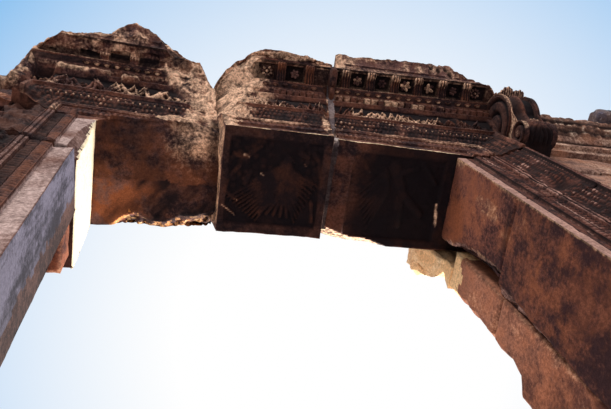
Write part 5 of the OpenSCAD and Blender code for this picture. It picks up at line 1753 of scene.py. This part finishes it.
def camera():
    el, az, roll = (math.radians(a) for a in (ELEVATION, AZIMUTH, ROLL))
    ahead = Vector((math.cos(el) * math.sin(az), math.cos(el) * math.cos(az), math.sin(el)))
    level = Vector((math.cos(az), -math.sin(az), 0))
    down = ahead.cross(level)
    right = level * math.cos(roll) + down * math.sin(roll)
    below = -level * math.sin(roll) + down * math.cos(roll)
    data = bpy.data.cameras.new("camera")
    data.sensor_width = SENSOR
    data.lens = FOCAL * SENSOR / PHOTO_W
    data.clip_end = 300
    cam = bpy.data.objects.new("camera", data)
    bpy.context.scene.collection.objects.link(cam)
    turn = Matrix((right, -below, -ahead)).transposed()
    cam.matrix_world = Matrix.Translation(CAMERA_AT) @ turn.to_4x4()
    bpy.context.scene.camera = cam


def light(name, kind, at, look, energy, size, colour):
    data = bpy.data.lights.new(name, kind)
    data.energy = energy
    data.color = colour
    if kind == "SUN":
        data.angle = size
    else:
        data.shape = "DISK"
        data.size = size
    obj = bpy.data.objects.new(name, data)
    bpy.context.scene.collection.objects.link(obj)
    obj.matrix_world = (Matrix.Translation(at) @ (Vector(look)
                                                  - Vector(at)).to_track_quat("-Z", "Y").to_matrix().to_4x4())


def surroundings():
    scene = bpy.context.scene
    world = bpy.data.worlds.new("studio")
    scene.world = world
    world.use_nodes = True
    n, l = world.node_tree.nodes, world.node_tree.links
    back = n["Background"]
    fill = n.new("ShaderNodeBackground")
    path = n.new("ShaderNodeLightPath")
    both = n.new("ShaderNodeMixShader")
    back.inputs["Strength"].default_value = 1.0
    # White around the middle of the opening, bluer away from it
    where = n.new("ShaderNodeTexCoord")
    near = n.new("ShaderNodeVectorMath")
    near.operation = "DOT_PRODUCT"
    near.inputs[1].default_value = SKY_MID
    ramp = n.new("ShaderNodeMapRange")
    for k, value in ((1, 0.80), (2, 0.972), (3, 0.0), (4, 1.0)):
        ramp.inputs[k].default_value = value
    shade = n.new("ShaderNodeMix")
    shade.data_type = "RGBA"
    shade.inputs[6].default_value = to_linear(146, 196, 240)
    shade.inputs[7].default_value = (1.0, 1.0, 1.0, 1)
    l.new(where.outputs["Generated"], near.inputs[0])
    l.new(near.outputs["Value"], ramp.inputs[0])
    l.new(ramp.outputs[0], shade.inputs[0])
    l.new(shade.outputs[2], back.inputs["Color"])
    fill.inputs["Color"].default_value = (0.99, 0.97, 1.0, 1)
    fill.inputs["Strength"].default_value = 0.75
    l.new(path.outputs["Is Camera Ray"], both.inputs[0])
    l.new(fill.outputs[0], both.inputs[1])
    l.new(back.outputs[0], both.inputs[2])
    l.new(both.outputs[0], n["World Output"].inputs["Surface"])
    bm = bmesh.new()
    bmesh.ops.create_circle(bm, cap_ends=True, segments=96, radius=60)
    mesh = bpy.data.meshes.new("floor")
    bm.to_mesh(mesh)
    bm.free()
    floor = bpy.data.objects.new("floor", mesh)
    scene.collection.objects.link(floor)
    pale = bpy.data.materials.new("floor_pale")
    pale.use_nodes = True
    shader = pale.node_tree.nodes["Principled BSDF"]
    shader.inputs["Base Color"].default_value = (0.62, 0.60, 0.60, 1)
    shader.inputs["Roughness"].default_value = 0.9
    mesh.materials.append(pale)
    light("key", "SUN", (-8, -16, 22), (0, 0, 10), 2.2, 0.3, (1.0, 0.96, 0.90))
    light("rear", "AREA", (9, 12, 15), (-3.25, 1, 12.3), 6500, 5, (1.0, 0.94, 0.86))
    scene.view_settings.view_transform = "Standard"


camera()
surroundings()
